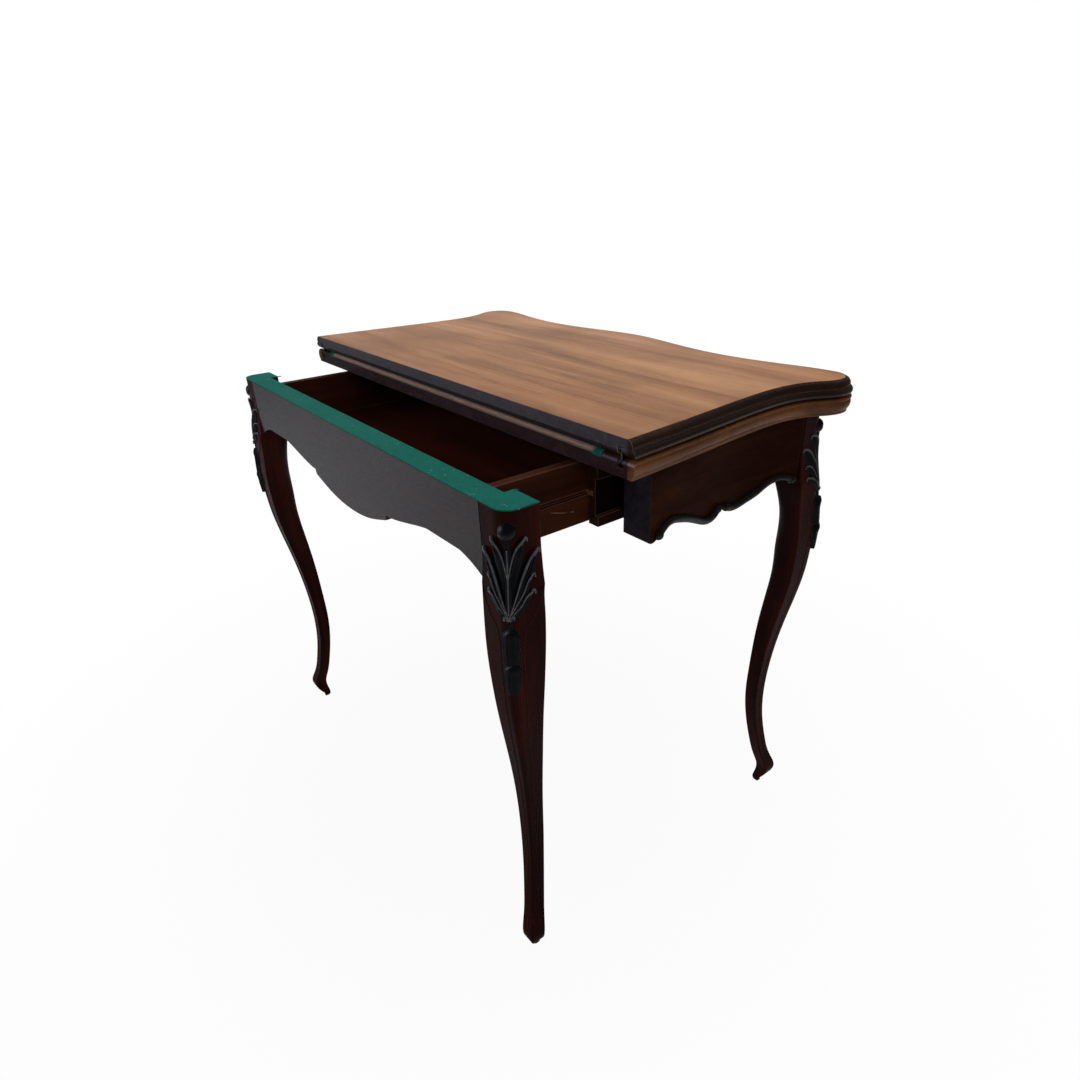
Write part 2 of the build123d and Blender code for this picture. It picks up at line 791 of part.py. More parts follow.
side_run = leg_back_y - hinge_y - side_apron_start
side_plan_shares = [(0.0, 1.0), (0.224, 0.848), (0.548, 0.543), (0.684, 0.5), (0.837, 0.63), (1.0, 0.957)]
side_edge_shares = [
    (0.0, -0.061),
    (0.035, -0.061),
    (0.06, 0.0),
    (0.1, 0.1),
    (0.14, 0.11),
    (0.19, 0.073),
    (0.246, 0.015),
    (0.337, -0.112),
    (0.41, -0.19),
    (0.455, -0.172),
    (0.49, -0.1),
    (0.527, -0.075),
    (0.565, -0.155),
    (0.64, -0.19),
    (0.71, -0.147),
    (0.765, -0.097),
    (0.815, -0.012),
    (0.86, 0.043),
    (0.905, 0.056),
    (0.945, 0.03),
    (1.0, -0.03),
]
front_plan_shares = [(0.0, 1.043), (0.3, 0.93), (0.56, 0.543), (0.8, 0.65), (1.0, 0.957)]
front_end_slope = (1, -0.2)
front_edge_shares = [(0.0, -0.177), (0.28, -0.124), (0.56, 0.002), (0.84, 0.065), (1.0, 0.002)]
back_edge_shares = [(0.0, -0.303), (0.197, -0.224), (0.331, -0.082)]
back_notch_slope = (1, 0.3)
back_notch_shares = [(0.331, -0.082), (0.337, 0.0), (0.368, 0.0)]
back_end_shares = [(0.368, 0.0), (0.483, 0.076), (0.688, 0.223), (0.868, 0.202), (1.0, 0.013)]
apron_side_y = hinge_y + side_apron_start


def side_plan_points():
    """Outer face of the right-hand side apron in plan."""
    return [
        (leg_inner_x + leg_block * out, apron_side_y + side_run * along)
        for along, out in side_plan_shares
    ]


def front_plan_points():
    """Outer face of the front apron in plan, from the centre to the right-hand leg."""
    return [
        (leg_inner_x * along, front_apron_y + front_apron_inset * out) for along, out in front_plan_shares
    ]


def edge_points(shares, start, run):
    """Points of an apron's lower edge, as distance along and level."""
    return [(start + run * along, apron_low + apron_drop * up) for along, up in shares]


with BuildPart() as side_apron_right:
    with BuildSketch(Plane.XY.offset(apron_low - apron_drop)):
        with BuildLine():
            outer = Spline(*side_plan_points())
            Polyline(outer @ 0, (leg_inner_x, (outer @ 0).Y), (leg_inner_x, leg_back_y), outer @ 1)
        make_face()
    extrude(amount=carcase_top - apron_low + apron_drop)
    with BuildSketch(Plane.YZ.offset(leg_inner_x - cut_overrun)):
        with BuildLine():
            lower = Spline(*edge_points(side_edge_shares, apron_side_y, side_run))
            Polyline(lower @ 0, (apron_side_y, carcase_top), (leg_back_y, carcase_top), lower @ 1)
        make_face()
    extrude(amount=2 * leg_block, mode=Mode.INTERSECT)
    side_tenon(Mode.ADD)
    rail_screw_shape(Mode.SUBTRACT)
save(side_apron_right, "side_apron_right")
save_mirrored(side_apron_right, "side_apron_left")

with BuildPart() as front_apron:
    with BuildSketch(Plane.XY.offset(apron_low - apron_drop)):
        with BuildLine():
            outer = Spline(*front_plan_points(), tangents=[(1, 0), (1, 0)])
            Polyline(outer @ 1, (leg_inner_x, front_apron_y), (0, front_apron_y), outer @ 0)
        make_face()
        mirror(about=Plane.YZ)
    extrude(amount=carcase_top - apron_low + apron_drop)
    with BuildSketch(Plane.XZ.offset(cut_overrun - front_apron_y)):
        with BuildLine():
            lower_points = edge_points(front_edge_shares, 0, leg_inner_x)
            lower = Spline(*lower_points, tangents=[(1, 0), front_end_slope])
            Polyline(lower @ 1, (leg_inner_x, carcase_top), (0, carcase_top), lower @ 0)
        make_face()
        mirror(about=Plane.YZ)
    extrude(amount=-2 * leg_block, mode=Mode.INTERSECT)
    front_apron_body = front_apron.part
    box_between(
        (-leg_inner_x - tenon_length, front_tenon_y, tenon_low),
        (leg_inner_x + tenon_length, front_tenon_y + tenon_thickness, tenon_high),
    )
save(front_apron, "front_apron")

# Black moulding along the aprons' lower edges: a half-round that ends in scroll bosses

bead_radius = 5.5
boss_radius = 6.8
boss_turn = sideways  # the bosses' poles lie level
bead_standoff = 0.9  # how far the bead's centre line lies outside the apron's face
halvings = 24
side_bead_runs = [
    [
        (0.05, 0.02),
        (0.075, 0.09),
        (0.1, 0.133),
        (0.14, 0.142),
        (0.19, 0.105),
        (0.246, 0.047),
        (0.337, -0.08),
        (0.41, -0.158),
        (0.455, -0.14),
        (0.486, -0.065),
    ],
    [
        (0.56, -0.105),
        (0.6, -0.155),
        (0.64, -0.158),
        (0.71, -0.115),
        (0.765, -0.065),
        (0.815, 0.02),
        (0.86, 0.075),
        (0.905, 0.088),
        (0.945, 0.062),
        (0.97, 0.028),
    ],
]
front_bead_runs = [
    [(0.06, -0.14), (0.28, -0.092), (0.56, 0.034), (0.84, 0.097), (0.97, 0.045)],
]


def along_y(spot):
    """How far along a side apron a point is."""
    return spot.Y


def along_x(spot):
    """How far along the front apron a point is."""
    return spot.X


def face_point(face_edge, along, key):
    """Point of a plan curve at a given distance along its apron."""
    low, high = 0.0, 1.0
    for _ in range(halvings):
        middle = (low + high) / 2
        if key(face_edge @ middle) < along:
            low = middle
        else:
            high = middle
    return face_edge @ low


def bead_points(run, start, length, face_edge, key, outward):
    """Centre line of a bead that follows the apron's serpentine face."""
    points = []
    for along, up in run:
        spot = face_point(face_edge, start + length * along, key) + bead_standoff * outward
        points.append((spot.X, spot.Y, apron_low + apron_drop * up))
    return points


def bead(points):
    """Half-round's full round and its two bosses along one run."""
    with BuildPart() as round_bead:
        with BuildLine() as path:
            line = Spline(*points)
        with BuildSketch(Plane(origin=line @ 0, z_dir=line % 0)):
            Circle(bead_radius)
        sweep(path=path.wires()[0])
        with Locations(*[Location(end, boss_turn) for end in (points[0], points[-1])]):
            Sphere(boss_radius)
    return round_bead.part


with BuildLine(mode=Mode.PRIVATE) as side_face_line:
    Spline(*side_plan_points())
with BuildLine(mode=Mode.PRIVATE) as front_face_line:
    Spline(*front_plan_points(), tangents=[(1, 0), (1, 0)])

with BuildPart() as side_moulding_right:
    for run in side_bead_runs:
        face_edge = side_face_line.edges()[0]
        add(bead(bead_points(run, apron_side_y, side_run, face_edge, along_y, Vector(1, 0, 0))))
    add(side_apron_right.part, mode=Mode.SUBTRACT)
    box_between(
        (0, hinge_y, apron_low - apron_drop),
        (leg_face_x + leg_block, apron_side_y, carcase_top),
        Mode.SUBTRACT,
    )
    add(front_leg_right.part, mode=Mode.SUBTRACT)
save(side_moulding_right, "side_moulding_right")
save_mirrored(side_moulding_right, "side_moulding_left")

with BuildPart() as front_moulding:
    for run in front_bead_runs:
        add(bead(bead_points(run, 0, leg_inner_x, front_face_line.edges()[0], along_x, Vector(0, 1, 0))))
    add(front_apron_body, mode=Mode.SUBTRACT)
    mirror(about=Plane.YZ)
save(front_moulding, "front_moulding")

# Sliding frame: back apron, lath and cloth

with BuildPart() as back_apron:
    with BuildSketch(Plane.XZ.offset(-frame_y)):
        with BuildLine():
            middle_points = edge_points(back_edge_shares, 0, leg_inner_x)
            middle_edge = Spline(*middle_points, tangents=[(1, 0), back_notch_slope])
            Polyline(*edge_points(back_notch_shares, 0, leg_inner_x))
            end_edge = Spline(*edge_points(back_end_shares, 0, leg_inner_x))
            Polyline(end_edge @ 1, (leg_inner_x, strip_low), (0, strip_low), middle_edge @ 0)
        make_face()
        mirror(about=Plane.YZ)
    extrude(amount=-back_apron_thickness)
    box_between(
        (-leg_inner_x - tenon_length, back_tenon_y, tenon_low),
        (leg_inner_x + tenon_length, back_tenon_y + tenon_thickness, tenon_high - tenon_margin),
    )
    for low_x, high_x in ((tray_inner_x, tray_outer_x), (-tray_outer_x, -tray_inner_x)):
        box_between((low_x, tray_start_y, tray_low), (high_x, tray_back_y, strip_low), Mode.SUBTRACT)
save(back_apron, "back_apron")

with BuildPart() as frame_top_strip:
    box_between((-leg_inner_x, frame_y, strip_low), (leg_inner_x, strip_y, frame_top))
save(frame_top_strip, "frame_top_strip")

with BuildPart() as frame_baize:
    with BuildSketch(Plane.XY.offset(frame_top)) as cloth:
        with Locations((0, (frame_y + strip_y) / 2)):
            Rectangle(2 * leg_face_x, top_strip_width)
        for side in (-1, 1):
            with Locations((side * (leg_face_x - leg_block / 2), frame_y + leg_block / 2)):
                Rectangle(leg_block, leg_block)
        fillet(cloth.vertices().group_by(Axis.Y)[0], leg_corner_radius)
    extrude(amount=frame_baize_thickness)
save(frame_baize, "frame_baize")

# Storage tray. Its sides are housed in the back apron and run between the guide rails.

def grooves(inner_x, outer_x, low_y, high_y):
    """Running groove for the runners, right-hand side."""
    box_between(
        (inner_x, low_y, runner_level - groove_height / 2),
        (outer_x, high_y, runner_level + groove_height / 2),
        Mode.SUBTRACT,
    )


with BuildPart() as tray_side_right:
    box_between((tray_inner_x, tray_start_y, tray_low), (tray_outer_x, tray_front_y, tray_top))
    box_between(
        (tray_inner_x - cut_overrun, tray_start_y - cut_overrun, strip_low),
        (tray_outer_x + cut_overrun, strip_y, tray_top + cut_overrun),
        Mode.SUBTRACT,
    )
    grooves(tray_outer_x - groove_depth, tray_outer_x + cut_overrun, tray_back_y, tray_groove_end)
    box_between(
        (tray_inner_x - cut_overrun, tray_back_y, tray_bottom_low),
        (tray_inner_x + housing_depth, tray_front_y, tray_bottom_low + tray_bottom_thickness),
        Mode.SUBTRACT,
    )
    box_between(
        (tray_inner_x - cut_overrun, tray_end_y, tray_low - cut_overrun),
        (tray_inner_x + housing_depth, tray_front_y + cut_overrun, tray_top + cut_overrun),
        Mode.SUBTRACT,
    )
    box_between(
        (tray_outer_x - tray_runner_seat, tray_runner_y, runner_level - runner_height / 2),
        (tray_outer_x + cut_overrun, tray_front_y, runner_level + runner_height / 2),
        Mode.SUBTRACT,
    )
save(tray_side_right, "tray_side_right")
save_mirrored(tray_side_right, "tray_side_left")

tray_housed_x = tray_inner_x + housing_depth

with BuildPart() as tray_bottom:
    box_between(
        (-tray_housed_x, tray_back_y, tray_bottom_low),
        (tray_housed_x, tray_end_y + housing_depth, tray_bottom_low + tray_bottom_thickness),
    )
save(tray_bottom, "tray_bottom")

with BuildPart() as tray_end:
    box_between((-tray_housed_x, tray_end_y, tray_low), (tray_housed_x, tray_front_y, tray_top))
    add(tray_bottom.part, mode=Mode.SUBTRACT)
save(tray_end, "tray_end")

with BuildPart() as tray_runners:
    box_between(
        (tray_outer_x - tray_runner_seat, tray_runner_y, runner_level - runner_height / 2),
        (rail_inner_x + groove_depth - groove_play, tray_front_y, runner_level + runner_height / 2),
    )
    mirror(about=Plane.YZ)
save(tray_runners, "tray_runners")

# Guide rails and the blocks behind them

with BuildPart() as guide_rail_right:
    box_between((rail_inner_x, rail_y, rail_low), (rail_outer_x, front_apron_y, rail_top))
    box_between(
        (channel_x, rail_y - cut_overrun, channel_low),
        (rail_outer_x + cut_overrun, front_apron_y, channel_high),
        Mode.SUBTRACT,
    )
    grooves(rail_inner_x - cut_overrun, rail_inner_x + groove_depth, rail_groove_start, front_apron_y)
    box_between(
        (rail_inner_x - cut_overrun, rail_y, runner_level - runner_height / 2),
        (rail_inner_x + runner_seat, rail_y + runner_length, runner_level + runner_height / 2),
        Mode.SUBTRACT,
    )
    rail_screw_shape(Mode.SUBTRACT)
save(guide_rail_right, "guide_rail_right")
save_mirrored(guide_rail_right, "guide_rail_left")

with BuildPart() as rail_runners:
    box_between(
        (tray_outer_x - groove_depth + groove_play, rail_y, runner_level - runner_height / 2),
        (rail_inner_x + runner_seat, rail_y + runner_length, runner_level + runner_height / 2),
    )
    mirror(about=Plane.YZ)
save(rail_runners, "rail_runners")

with BuildPart() as rail_blocks:
    for y in block_places:
        box_between(
            (channel_x, y - block_length / 2, channel_low),
            (leg_inner_x, y + block_length / 2, channel_high),
        )
    rail_screw_shape(Mode.SUBTRACT)
    mirror(about=Plane.YZ)
save(rail_blocks, "rail_blocks")

with BuildPart() as top_blocks:
    for y in block_places:
        box_between(
            (rail_outer_x, y - block_length / 2, carcase_top - top_block_height),
            (leg_inner_x, y + block_length / 2, carcase_top),
        )
    with Locations(*[(x, y, carcase_top) for x, y in top_screw_places if x > 0]):
        Cylinder(top_screw_radius, 2 * top_block_height, mode=Mode.SUBTRACT)
    mirror(about=Plane.YZ)
save(top_blocks, "top_blocks")

with BuildPart() as top_screws:
    with Locations(*[(x, y, carcase_top + top_screw_grip) for x, y in top_screw_places]):
        Cylinder(
            top_screw_radius,
            top_screw_grip + top_block_height,
            align=(Align.CENTER, Align.CENTER, Align.MAX),
        )
save(top_screws, "top_screws")

with BuildPart() as rail_screws:
    rail_screw_shape(Mode.ADD)
    mirror(about=Plane.YZ)
save(rail_screws, "rail_screws")

with BuildPart() as corner_blocks:
    with BuildSketch(Plane.XY.offset(carcase_top - corner_block_height)):
        with BuildLine():
            Polyline(
                (rail_inner_x, front_apron_y),
                (rail_inner_x - corner_block_leg, front_apron_y),
                (rail_inner_x, front_apron_y - corner_block_leg),
                close=True,
            )
        make_face()
    extrude(amount=corner_block_height)
    mirror(about=Plane.YZ)
save(corner_blocks, "corner_blocks")
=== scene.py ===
import math
import random

import bmesh
import bpy
from mathutils import Matrix, Vector
from mathutils.bvhtree import BVHTree


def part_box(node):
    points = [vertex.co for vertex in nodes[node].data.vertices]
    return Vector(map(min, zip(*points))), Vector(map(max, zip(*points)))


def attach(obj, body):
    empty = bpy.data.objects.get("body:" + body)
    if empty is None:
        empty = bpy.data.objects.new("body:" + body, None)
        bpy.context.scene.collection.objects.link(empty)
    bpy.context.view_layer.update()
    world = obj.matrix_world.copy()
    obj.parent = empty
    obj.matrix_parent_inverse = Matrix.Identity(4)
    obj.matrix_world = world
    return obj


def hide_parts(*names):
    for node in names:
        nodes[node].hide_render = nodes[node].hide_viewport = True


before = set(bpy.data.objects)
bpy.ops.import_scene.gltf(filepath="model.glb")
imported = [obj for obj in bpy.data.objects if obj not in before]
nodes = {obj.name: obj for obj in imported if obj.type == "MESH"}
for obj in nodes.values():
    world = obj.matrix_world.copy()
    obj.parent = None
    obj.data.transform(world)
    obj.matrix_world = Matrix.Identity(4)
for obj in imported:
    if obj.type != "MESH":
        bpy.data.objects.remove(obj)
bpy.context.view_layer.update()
random.seed(11)
MM = 0.001

# Shader helpers


def new_material(name):
    """Empty node material with a principled shader."""
    material = bpy.data.materials.new(name)
    material.use_nodes = True
    tree = material.node_tree
    tree.nodes.clear()
    output = tree.nodes.new("ShaderNodeOutputMaterial")
    shader = tree.nodes.new("ShaderNodeBsdfPrincipled")
    tree.links.new(shader.outputs["BSDF"], output.inputs["Surface"])
    return material, tree, shader


def object_coordinates(tree, scale=(1, 1, 1)):
    """Object coordinates in metres, stretched by a scale."""
    source = tree.nodes.new("ShaderNodeTexCoord")
    mapping = tree.nodes.new("ShaderNodeMapping")
    mapping.inputs["Scale"].default_value = scale
    tree.links.new(source.outputs["Object"], mapping.inputs["Vector"])
    return mapping.outputs["Vector"]


def noise(tree, vector, scale, detail, roughness=0.6, distortion=0.0):
    """Noise value."""
    node = tree.nodes.new("ShaderNodeTexNoise")
    node.inputs["Scale"].default_value = scale
    node.inputs["Detail"].default_value = detail
    node.inputs["Roughness"].default_value = roughness
    node.inputs["Distortion"].default_value = distortion
    tree.links.new(vector, node.inputs["Vector"])
    return node.outputs["Fac"]


def cells(tree, vector, scale):
    """Distance to the nearest of many scattered points."""
    node = tree.nodes.new("ShaderNodeTexVoronoi")
    node.inputs["Scale"].default_value = scale
    tree.links.new(vector, node.inputs["Vector"])
    return node.outputs["Distance"]


def ramp(tree, value, stops):
    """Value through a colour ramp of (position, colour or grey) stops."""
    node = tree.nodes.new("ShaderNodeValToRGB")
    elements = node.color_ramp.elements
    while len(elements) < len(stops):
        elements.new(0.5)
    for element, (position, colour) in zip(elements, stops):
        element.position = position
        shade = colour if isinstance(colour, tuple) else (colour, colour, colour)
        element.color = (*shade, 1)
    tree.links.new(value, node.inputs["Fac"])
    return node.outputs["Color"]


def mix(tree, factor, first, second):
    """Mixed colour; each input is a socket, a number or a colour."""
    node = tree.nodes.new("ShaderNodeMix")
    node.data_type = "RGBA"
    for socket, value in ((node.inputs[0], factor), (node.inputs[6], first), (node.inputs[7], second)):
        if isinstance(value, bpy.types.NodeSocket):
            tree.links.new(value, socket)
        elif isinstance(value, tuple):
            socket.default_value = (*value, 1)
        else:
            socket.default_value = value
    return node.outputs[2]


def calculate(tree, operation, first, second=0.0):
    """Math node result."""
    node = tree.nodes.new("ShaderNodeMath")
    node.operation = operation
    for socket, value in zip(node.inputs, (first, second)):
        if isinstance(value, bpy.types.NodeSocket):
            tree.links.new(value, socket)
        else:
            socket.default_value = value
    return node.outputs[0]


def multiply(tree, first, second):
    """Product."""
    return calculate(tree, "MULTIPLY", first, second)


def add(tree, first, second):
    """Sum."""
    return calculate(tree, "ADD", first, second)


def size_of(tree, value):
    """Value without its sign."""
    return calculate(tree, "ABSOLUTE", value)


def bump(tree, shader, height, strength, distance):
    """Bump from a height value."""
    node = tree.nodes.new("ShaderNodeBump")
    node.inputs["Strength"].default_value = strength
    node.inputs["Distance"].default_value = distance
    tree.links.new(height, node.inputs["Height"])
    tree.links.new(node.outputs["Normal"], shader.inputs["Normal"])


def separate(tree, vector):
    """X, Y and Z of a vector."""
    node = tree.nodes.new("ShaderNodeSeparateXYZ")
    tree.links.new(vector, node.inputs[0])
    return node.outputs


def surface_normal(tree):
    """X, Y and Z of the surface's normal."""
    return separate(tree, tree.nodes.new("ShaderNodeNewGeometry").outputs["Normal"])


def shaded(colour, factor, lift=0.0):
    """Colour made darker or lighter."""
    return tuple(channel * factor + lift for channel in colour)


def edge_wear(tree, radius, low, high):
    """Mask that is white on arrises, broken up by noise."""
    bevel = tree.nodes.new("ShaderNodeBevel")
    bevel.samples = 4
    bevel.inputs["Radius"].default_value = radius
    geometry = tree.nodes.new("ShaderNodeNewGeometry")
    dot = tree.nodes.new("ShaderNodeVectorMath")
    dot.operation = "DOT_PRODUCT"
    tree.links.new(bevel.outputs["Normal"], dot.inputs[0])
    tree.links.new(geometry.outputs["True Normal"], dot.inputs[1])
    bend = calculate(tree, "SUBTRACT", 1.0, dot.outputs["Value"])
    patchy = noise(tree, object_coordinates(tree), 46.0, detail=6.0, roughness=0.7)
    return ramp(tree, multiply(tree, bend, patchy), [(low, 0.0), (high, 1.0)])


# Materials

# Coordinates are stretched across the grain, so that noise draws out along it
GRAIN = {"x": (1.2, 22.0, 22.0), "y": (22.0, 1.2, 22.0), "z": (22.0, 22.0, 1.2)}
SCRATCH_STRETCH = (5.0, 70.0, 9.0)
FOLD_STRETCH = (3.0, 60.0, 60.0)
AXIS_NUMBER = {"x": 0, "y": 1, "z": 2}

# How far wear reaches in from an arris, and how deep the materials' reliefs look
WOOD_WEAR = 2.2 * MM
CARVING_WEAR = 1.6 * MM
PORE_DEPTH = 0.6 * MM
STIPPLE_DEPTH = 1.2 * MM
GRIME_DEPTH = 0.5 * MM
NAP_DEPTH = 0.8 * MM
TARNISH_DEPTH = 0.3 * MM

# Colour of the pale dents and scratches on bare end grain and on the back edges
SCUFFS = (0.13, 0.11, 0.13)

# Painted shade in the rails' wide channel fades out between these distances from the table's middle plane
CHANNEL_X = (344.2 * MM, 344.7 * MM)
CHANNEL_SHADE = (0.003, 0.0015, 0.001)


def wood(name, shades, grain, figure=3.4, rough=(0.2, 0.42), coat=0.0, coat_rough=0.08, shine=0.06,
         worn=None, wear=(0.05, 0.22), end_grain=None, end_axis=None, end_from=0.9, scratches=0.15,
         channel=False):
    """Polished wood: broad figure, fine fibres, dark pores, rubbed arrises and fine scratches."""
    dark, middle, light = shades
    material, tree, shader = new_material(name)
    stretched = object_coordinates(tree, GRAIN[grain])
    plain = object_coordinates(tree)
    broad = noise(tree, stretched, figure * 0.35, detail=5.0, roughness=0.55, distortion=0.8)
    fibres = noise(tree, stretched, figure * 7.0, detail=6.0, roughness=0.72, distortion=0.3)
    pattern = add(tree, multiply(tree, broad, 0.68), multiply(tree, fibres, 0.32))
    colour = ramp(tree, pattern, [(0.3, dark), (0.5, middle), (0.7, light)])
    holes = noise(tree, stretched, figure * 34.0, detail=2.0, roughness=0.5)
    pores = ramp(tree, holes, [(0.3, 1.0), (0.42, 0.0)])
    colour = mix(tree, multiply(tree, pores, 0.55), colour, shaded(dark, 0.45))
    cloud = noise(tree, plain, 5.5, detail=3.0, roughness=0.5)
    colour = mix(tree, ramp(tree, cloud, [(0.42, 0.0), (0.75, 0.5)]), colour, dark)
    if end_grain is not None:
        across = surface_normal(tree)[AXIS_NUMBER[end_axis or grain]]
        end_mask = ramp(tree, size_of(tree, across), [(end_from, 0.0), (end_from + 0.07, 1.0)])
        rings = noise(tree, plain, 90.0, detail=6.0, roughness=0.75)
        end_colour = ramp(tree, rings, [
            (0.35, shaded(end_grain, 0.5)), (0.6, end_grain), (0.655, end_grain), (0.69, SCUFFS),
        ])
        colour = mix(tree, end_mask, colour, end_colour)
    # Painted shade: the upright floor of the rails' channel is darkened
    if channel:
        depth = size_of(tree, separate(tree, plain)[0])
        inside = ramp(tree, depth, [(CHANNEL_X[0], 1.0), (CHANNEL_X[1], 0.0)])
        upright = ramp(tree, size_of(tree, surface_normal(tree)[0]), [(0.85, 0.0), (0.95, 1.0)])
        colour = mix(tree, multiply(tree, inside, upright), colour, CHANNEL_SHADE)
    if worn is not None:
        colour = mix(tree, edge_wear(tree, WOOD_WEAR, *wear), colour, worn)
    smears = noise(tree, plain, 14.0, detail=5.0, roughness=0.6, distortion=0.5)
    roughness = add(tree, rough[0], multiply(tree, smears, rough[1] - rough[0]))
    drawn_out = object_coordinates(tree, SCRATCH_STRETCH)
    lines = noise(tree, drawn_out, 9.0, detail=2.0, roughness=0.5, distortion=1.4)
    roughness = add(tree, roughness, ramp(tree, lines, [(0.655, 0.0), (0.69, scratches)]))
    tree.links.new(colour, shader.inputs["Base Color"])
    tree.links.new(roughness, shader.inputs["Roughness"])
    shader.inputs["Specular IOR Level"].default_value = shine
    shader.inputs["Coat Weight"].default_value = coat
    shader.inputs["Coat Roughness"].default_value = coat_rough
    height = calculate(tree, "SUBTRACT", multiply(tree, fibres, 0.35), pores)
    bump(tree, shader, height, strength=0.22, distance=PORE_DEPTH)
    return material


def black_wood(name, base, worn, stipple=0.0, coat=0.16):
    """Ebonised carving: nearly black with patchy grime, and rubbed grey on raised edges."""
    material, tree, shader = new_material(name)
    plain = object_coordinates(tree)
    grime = noise(tree, plain, 120.0, detail=6.0, roughness=0.7)
    colour = ramp(tree, grime, [(0.3, shaded(base, 0.5)), (0.65, base), (0.85, shaded(base, 2.2))])
    colour = mix(tree, edge_wear(tree, CARVING_WEAR, 0.05, 0.3), colour, worn)
    smears = noise(tree, plain, 60.0, detail=4.0, roughness=0.6)
    tree.links.new(colour, shader.inputs["Base Color"])
    tree.links.new(add(tree, 0.22, multiply(tree, smears, 0.24)), shader.inputs["Roughness"])
    shader.inputs["Specular IOR Level"].default_value = 0.12
    shader.inputs["Coat Weight"].default_value = coat
    shader.inputs["Coat Roughness"].default_value = 0.14
    if stipple:
        bump(tree, shader, cells(tree, plain, stipple), strength=0.9, distance=STIPPLE_DEPTH)
    else:
        bump(tree, shader, grime, strength=0.3, distance=GRIME_DEPTH)
    return material


# A leaf's cloth can be rubbed where it folds over the back arris. The rubbing comes in between these
# distances behind the middle of the table, and only above the level. Below it the fold is stained dark.
RUBBED_BACK = (123.53 * MM, 125.53 * MM)
RUBBED_LEVEL_SHARE = 0.42
RUBBED_LEVEL_FADE = 0.6 * MM
RUBBED_END_FADE = 4 * MM
cloth_low, cloth_high = (corner[2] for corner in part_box("lower_leaf_baize"))
RUBBED_LEVEL = cloth_low + (cloth_high - cloth_low) * RUBBED_LEVEL_SHARE
STAINED_FOLD = (0.016, 0.007, 0.008)
LINT = (0.42, 0.55, 0.5)


def baize(name, base, rubbed=None, reach=None):
    """Woollen cloth with nap, lint and faded patches; the fold along the hinge can be rubbed."""
    material, tree, shader = new_material(name)
    plain = object_coordinates(tree)
    weave = noise(tree, plain, 900.0, detail=3.0, roughness=0.7)
    nap = noise(tree, plain, 160.0, detail=6.0, roughness=0.75)
    faded = noise(tree, plain, 12.0, detail=4.0, roughness=0.6)
    colour = ramp(tree, nap, [(0.3, shaded(base, 0.72)), (0.55, base), (0.8, shaded(base, 1.25))])
    colour = mix(tree, ramp(tree, faded, [(0.45, 0.0), (0.8, 0.3)]), colour, shaded(base, 1.5, 0.01))
    specks = ramp(tree, cells(tree, plain, 210.0), [(0.09, 1.0), (0.15, 0.0)])
    sparse = ramp(tree, noise(tree, plain, 70.0, detail=2.0), [(0.52, 0.0), (0.6, 0.8)])
    colour = mix(tree, multiply(tree, specks, sparse), colour, LINT)
    if rubbed is not None:
        place = separate(tree, plain)
        back = multiply(tree, place[1], -1.0)
        behind = ramp(tree, back, [(RUBBED_BACK[0], 0.0), (RUBBED_BACK[1], 1.0)])
        inside = ramp(tree, size_of(tree, place[0]), [(reach - RUBBED_END_FADE, 1.0), (reach, 0.0)])
        upper = ramp(tree, place[2], [(RUBBED_LEVEL, 0.0), (RUBBED_LEVEL + RUBBED_LEVEL_FADE, 1.0)])
        streaks = noise(tree, object_coordinates(tree, FOLD_STRETCH), 12.0, detail=5.0, roughness=0.7)
        streaky = ramp(tree, streaks, [(0.3, shaded(rubbed, 0.45)), (0.6, rubbed)])
        colour = mix(tree, multiply(tree, behind, inside), colour, mix(tree, upper, STAINED_FOLD, streaky))
    tree.links.new(colour, shader.inputs["Base Color"])
    shader.inputs["Roughness"].default_value = 0.95
    shader.inputs["Specular IOR Level"].default_value = 0.05
    shader.inputs["Sheen Weight"].default_value = 0.02
    shader.inputs["Sheen Roughness"].default_value = 0.5
    height = add(tree, multiply(tree, weave, 0.5), nap)
    bump(tree, shader, height, strength=0.55, distance=NAP_DEPTH)
    return material


def metal(name, base, tarnish, roughness):
    """Old metal with tarnish."""
    material, tree, shader = new_material(name)
    patches = noise(tree, object_coordinates(tree), 140.0, detail=6.0, roughness=0.7)
    tree.links.new(ramp(tree, patches, [(0.4, tarnish), (0.62, base)]), shader.inputs["Base Color"])
    tree.links.new(add(tree, roughness, multiply(tree, patches, 0.3)), shader.inputs["Roughness"])
    shader.inputs["Metallic"].default_value = 1.0
    bump(tree, shader, patches, strength=0.2, distance=TARNISH_DEPTH)
    return material


RED_SHADES = ((0.006, 0.0007, 0.0003), (0.019, 0.0018, 0.0006), (0.07, 0.0072, 0.0022))
TRAY_LOOK = {
    "shades": ((0.014, 0.003, 0.0012), (0.034, 0.0085, 0.0034), (0.06, 0.0165, 0.007)),
    "grain": "y", "rough": (0.4, 0.6), "worn": (0.2, 0.1, 0.07), "wear": (0.05, 0.16),
    "end_grain": (0.04, 0.017, 0.009),
}
top_wood = wood(
    "top_wood", ((0.12, 0.045, 0.016), (0.31, 0.142, 0.058), (0.46, 0.23, 0.105)), "x", rough=(0.34, 0.5),
    coat=0.1, coat_rough=0.2, shine=0.16, worn=(0.2, 0.14, 0.12), wear=(0.16, 0.5),
    end_grain=(0.03, 0.014, 0.018), end_axis="y", end_from=0.2,
)
face_wood = wood(
    "face_wood", ((0.04, 0.012, 0.006), (0.07, 0.022, 0.01), (0.1, 0.035, 0.016)), "x", coat=0.05,
    worn=(0.2, 0.14, 0.13), wear=(0.16, 0.5), end_grain=(0.03, 0.009, 0.01), end_axis="y", end_from=0.2,
)
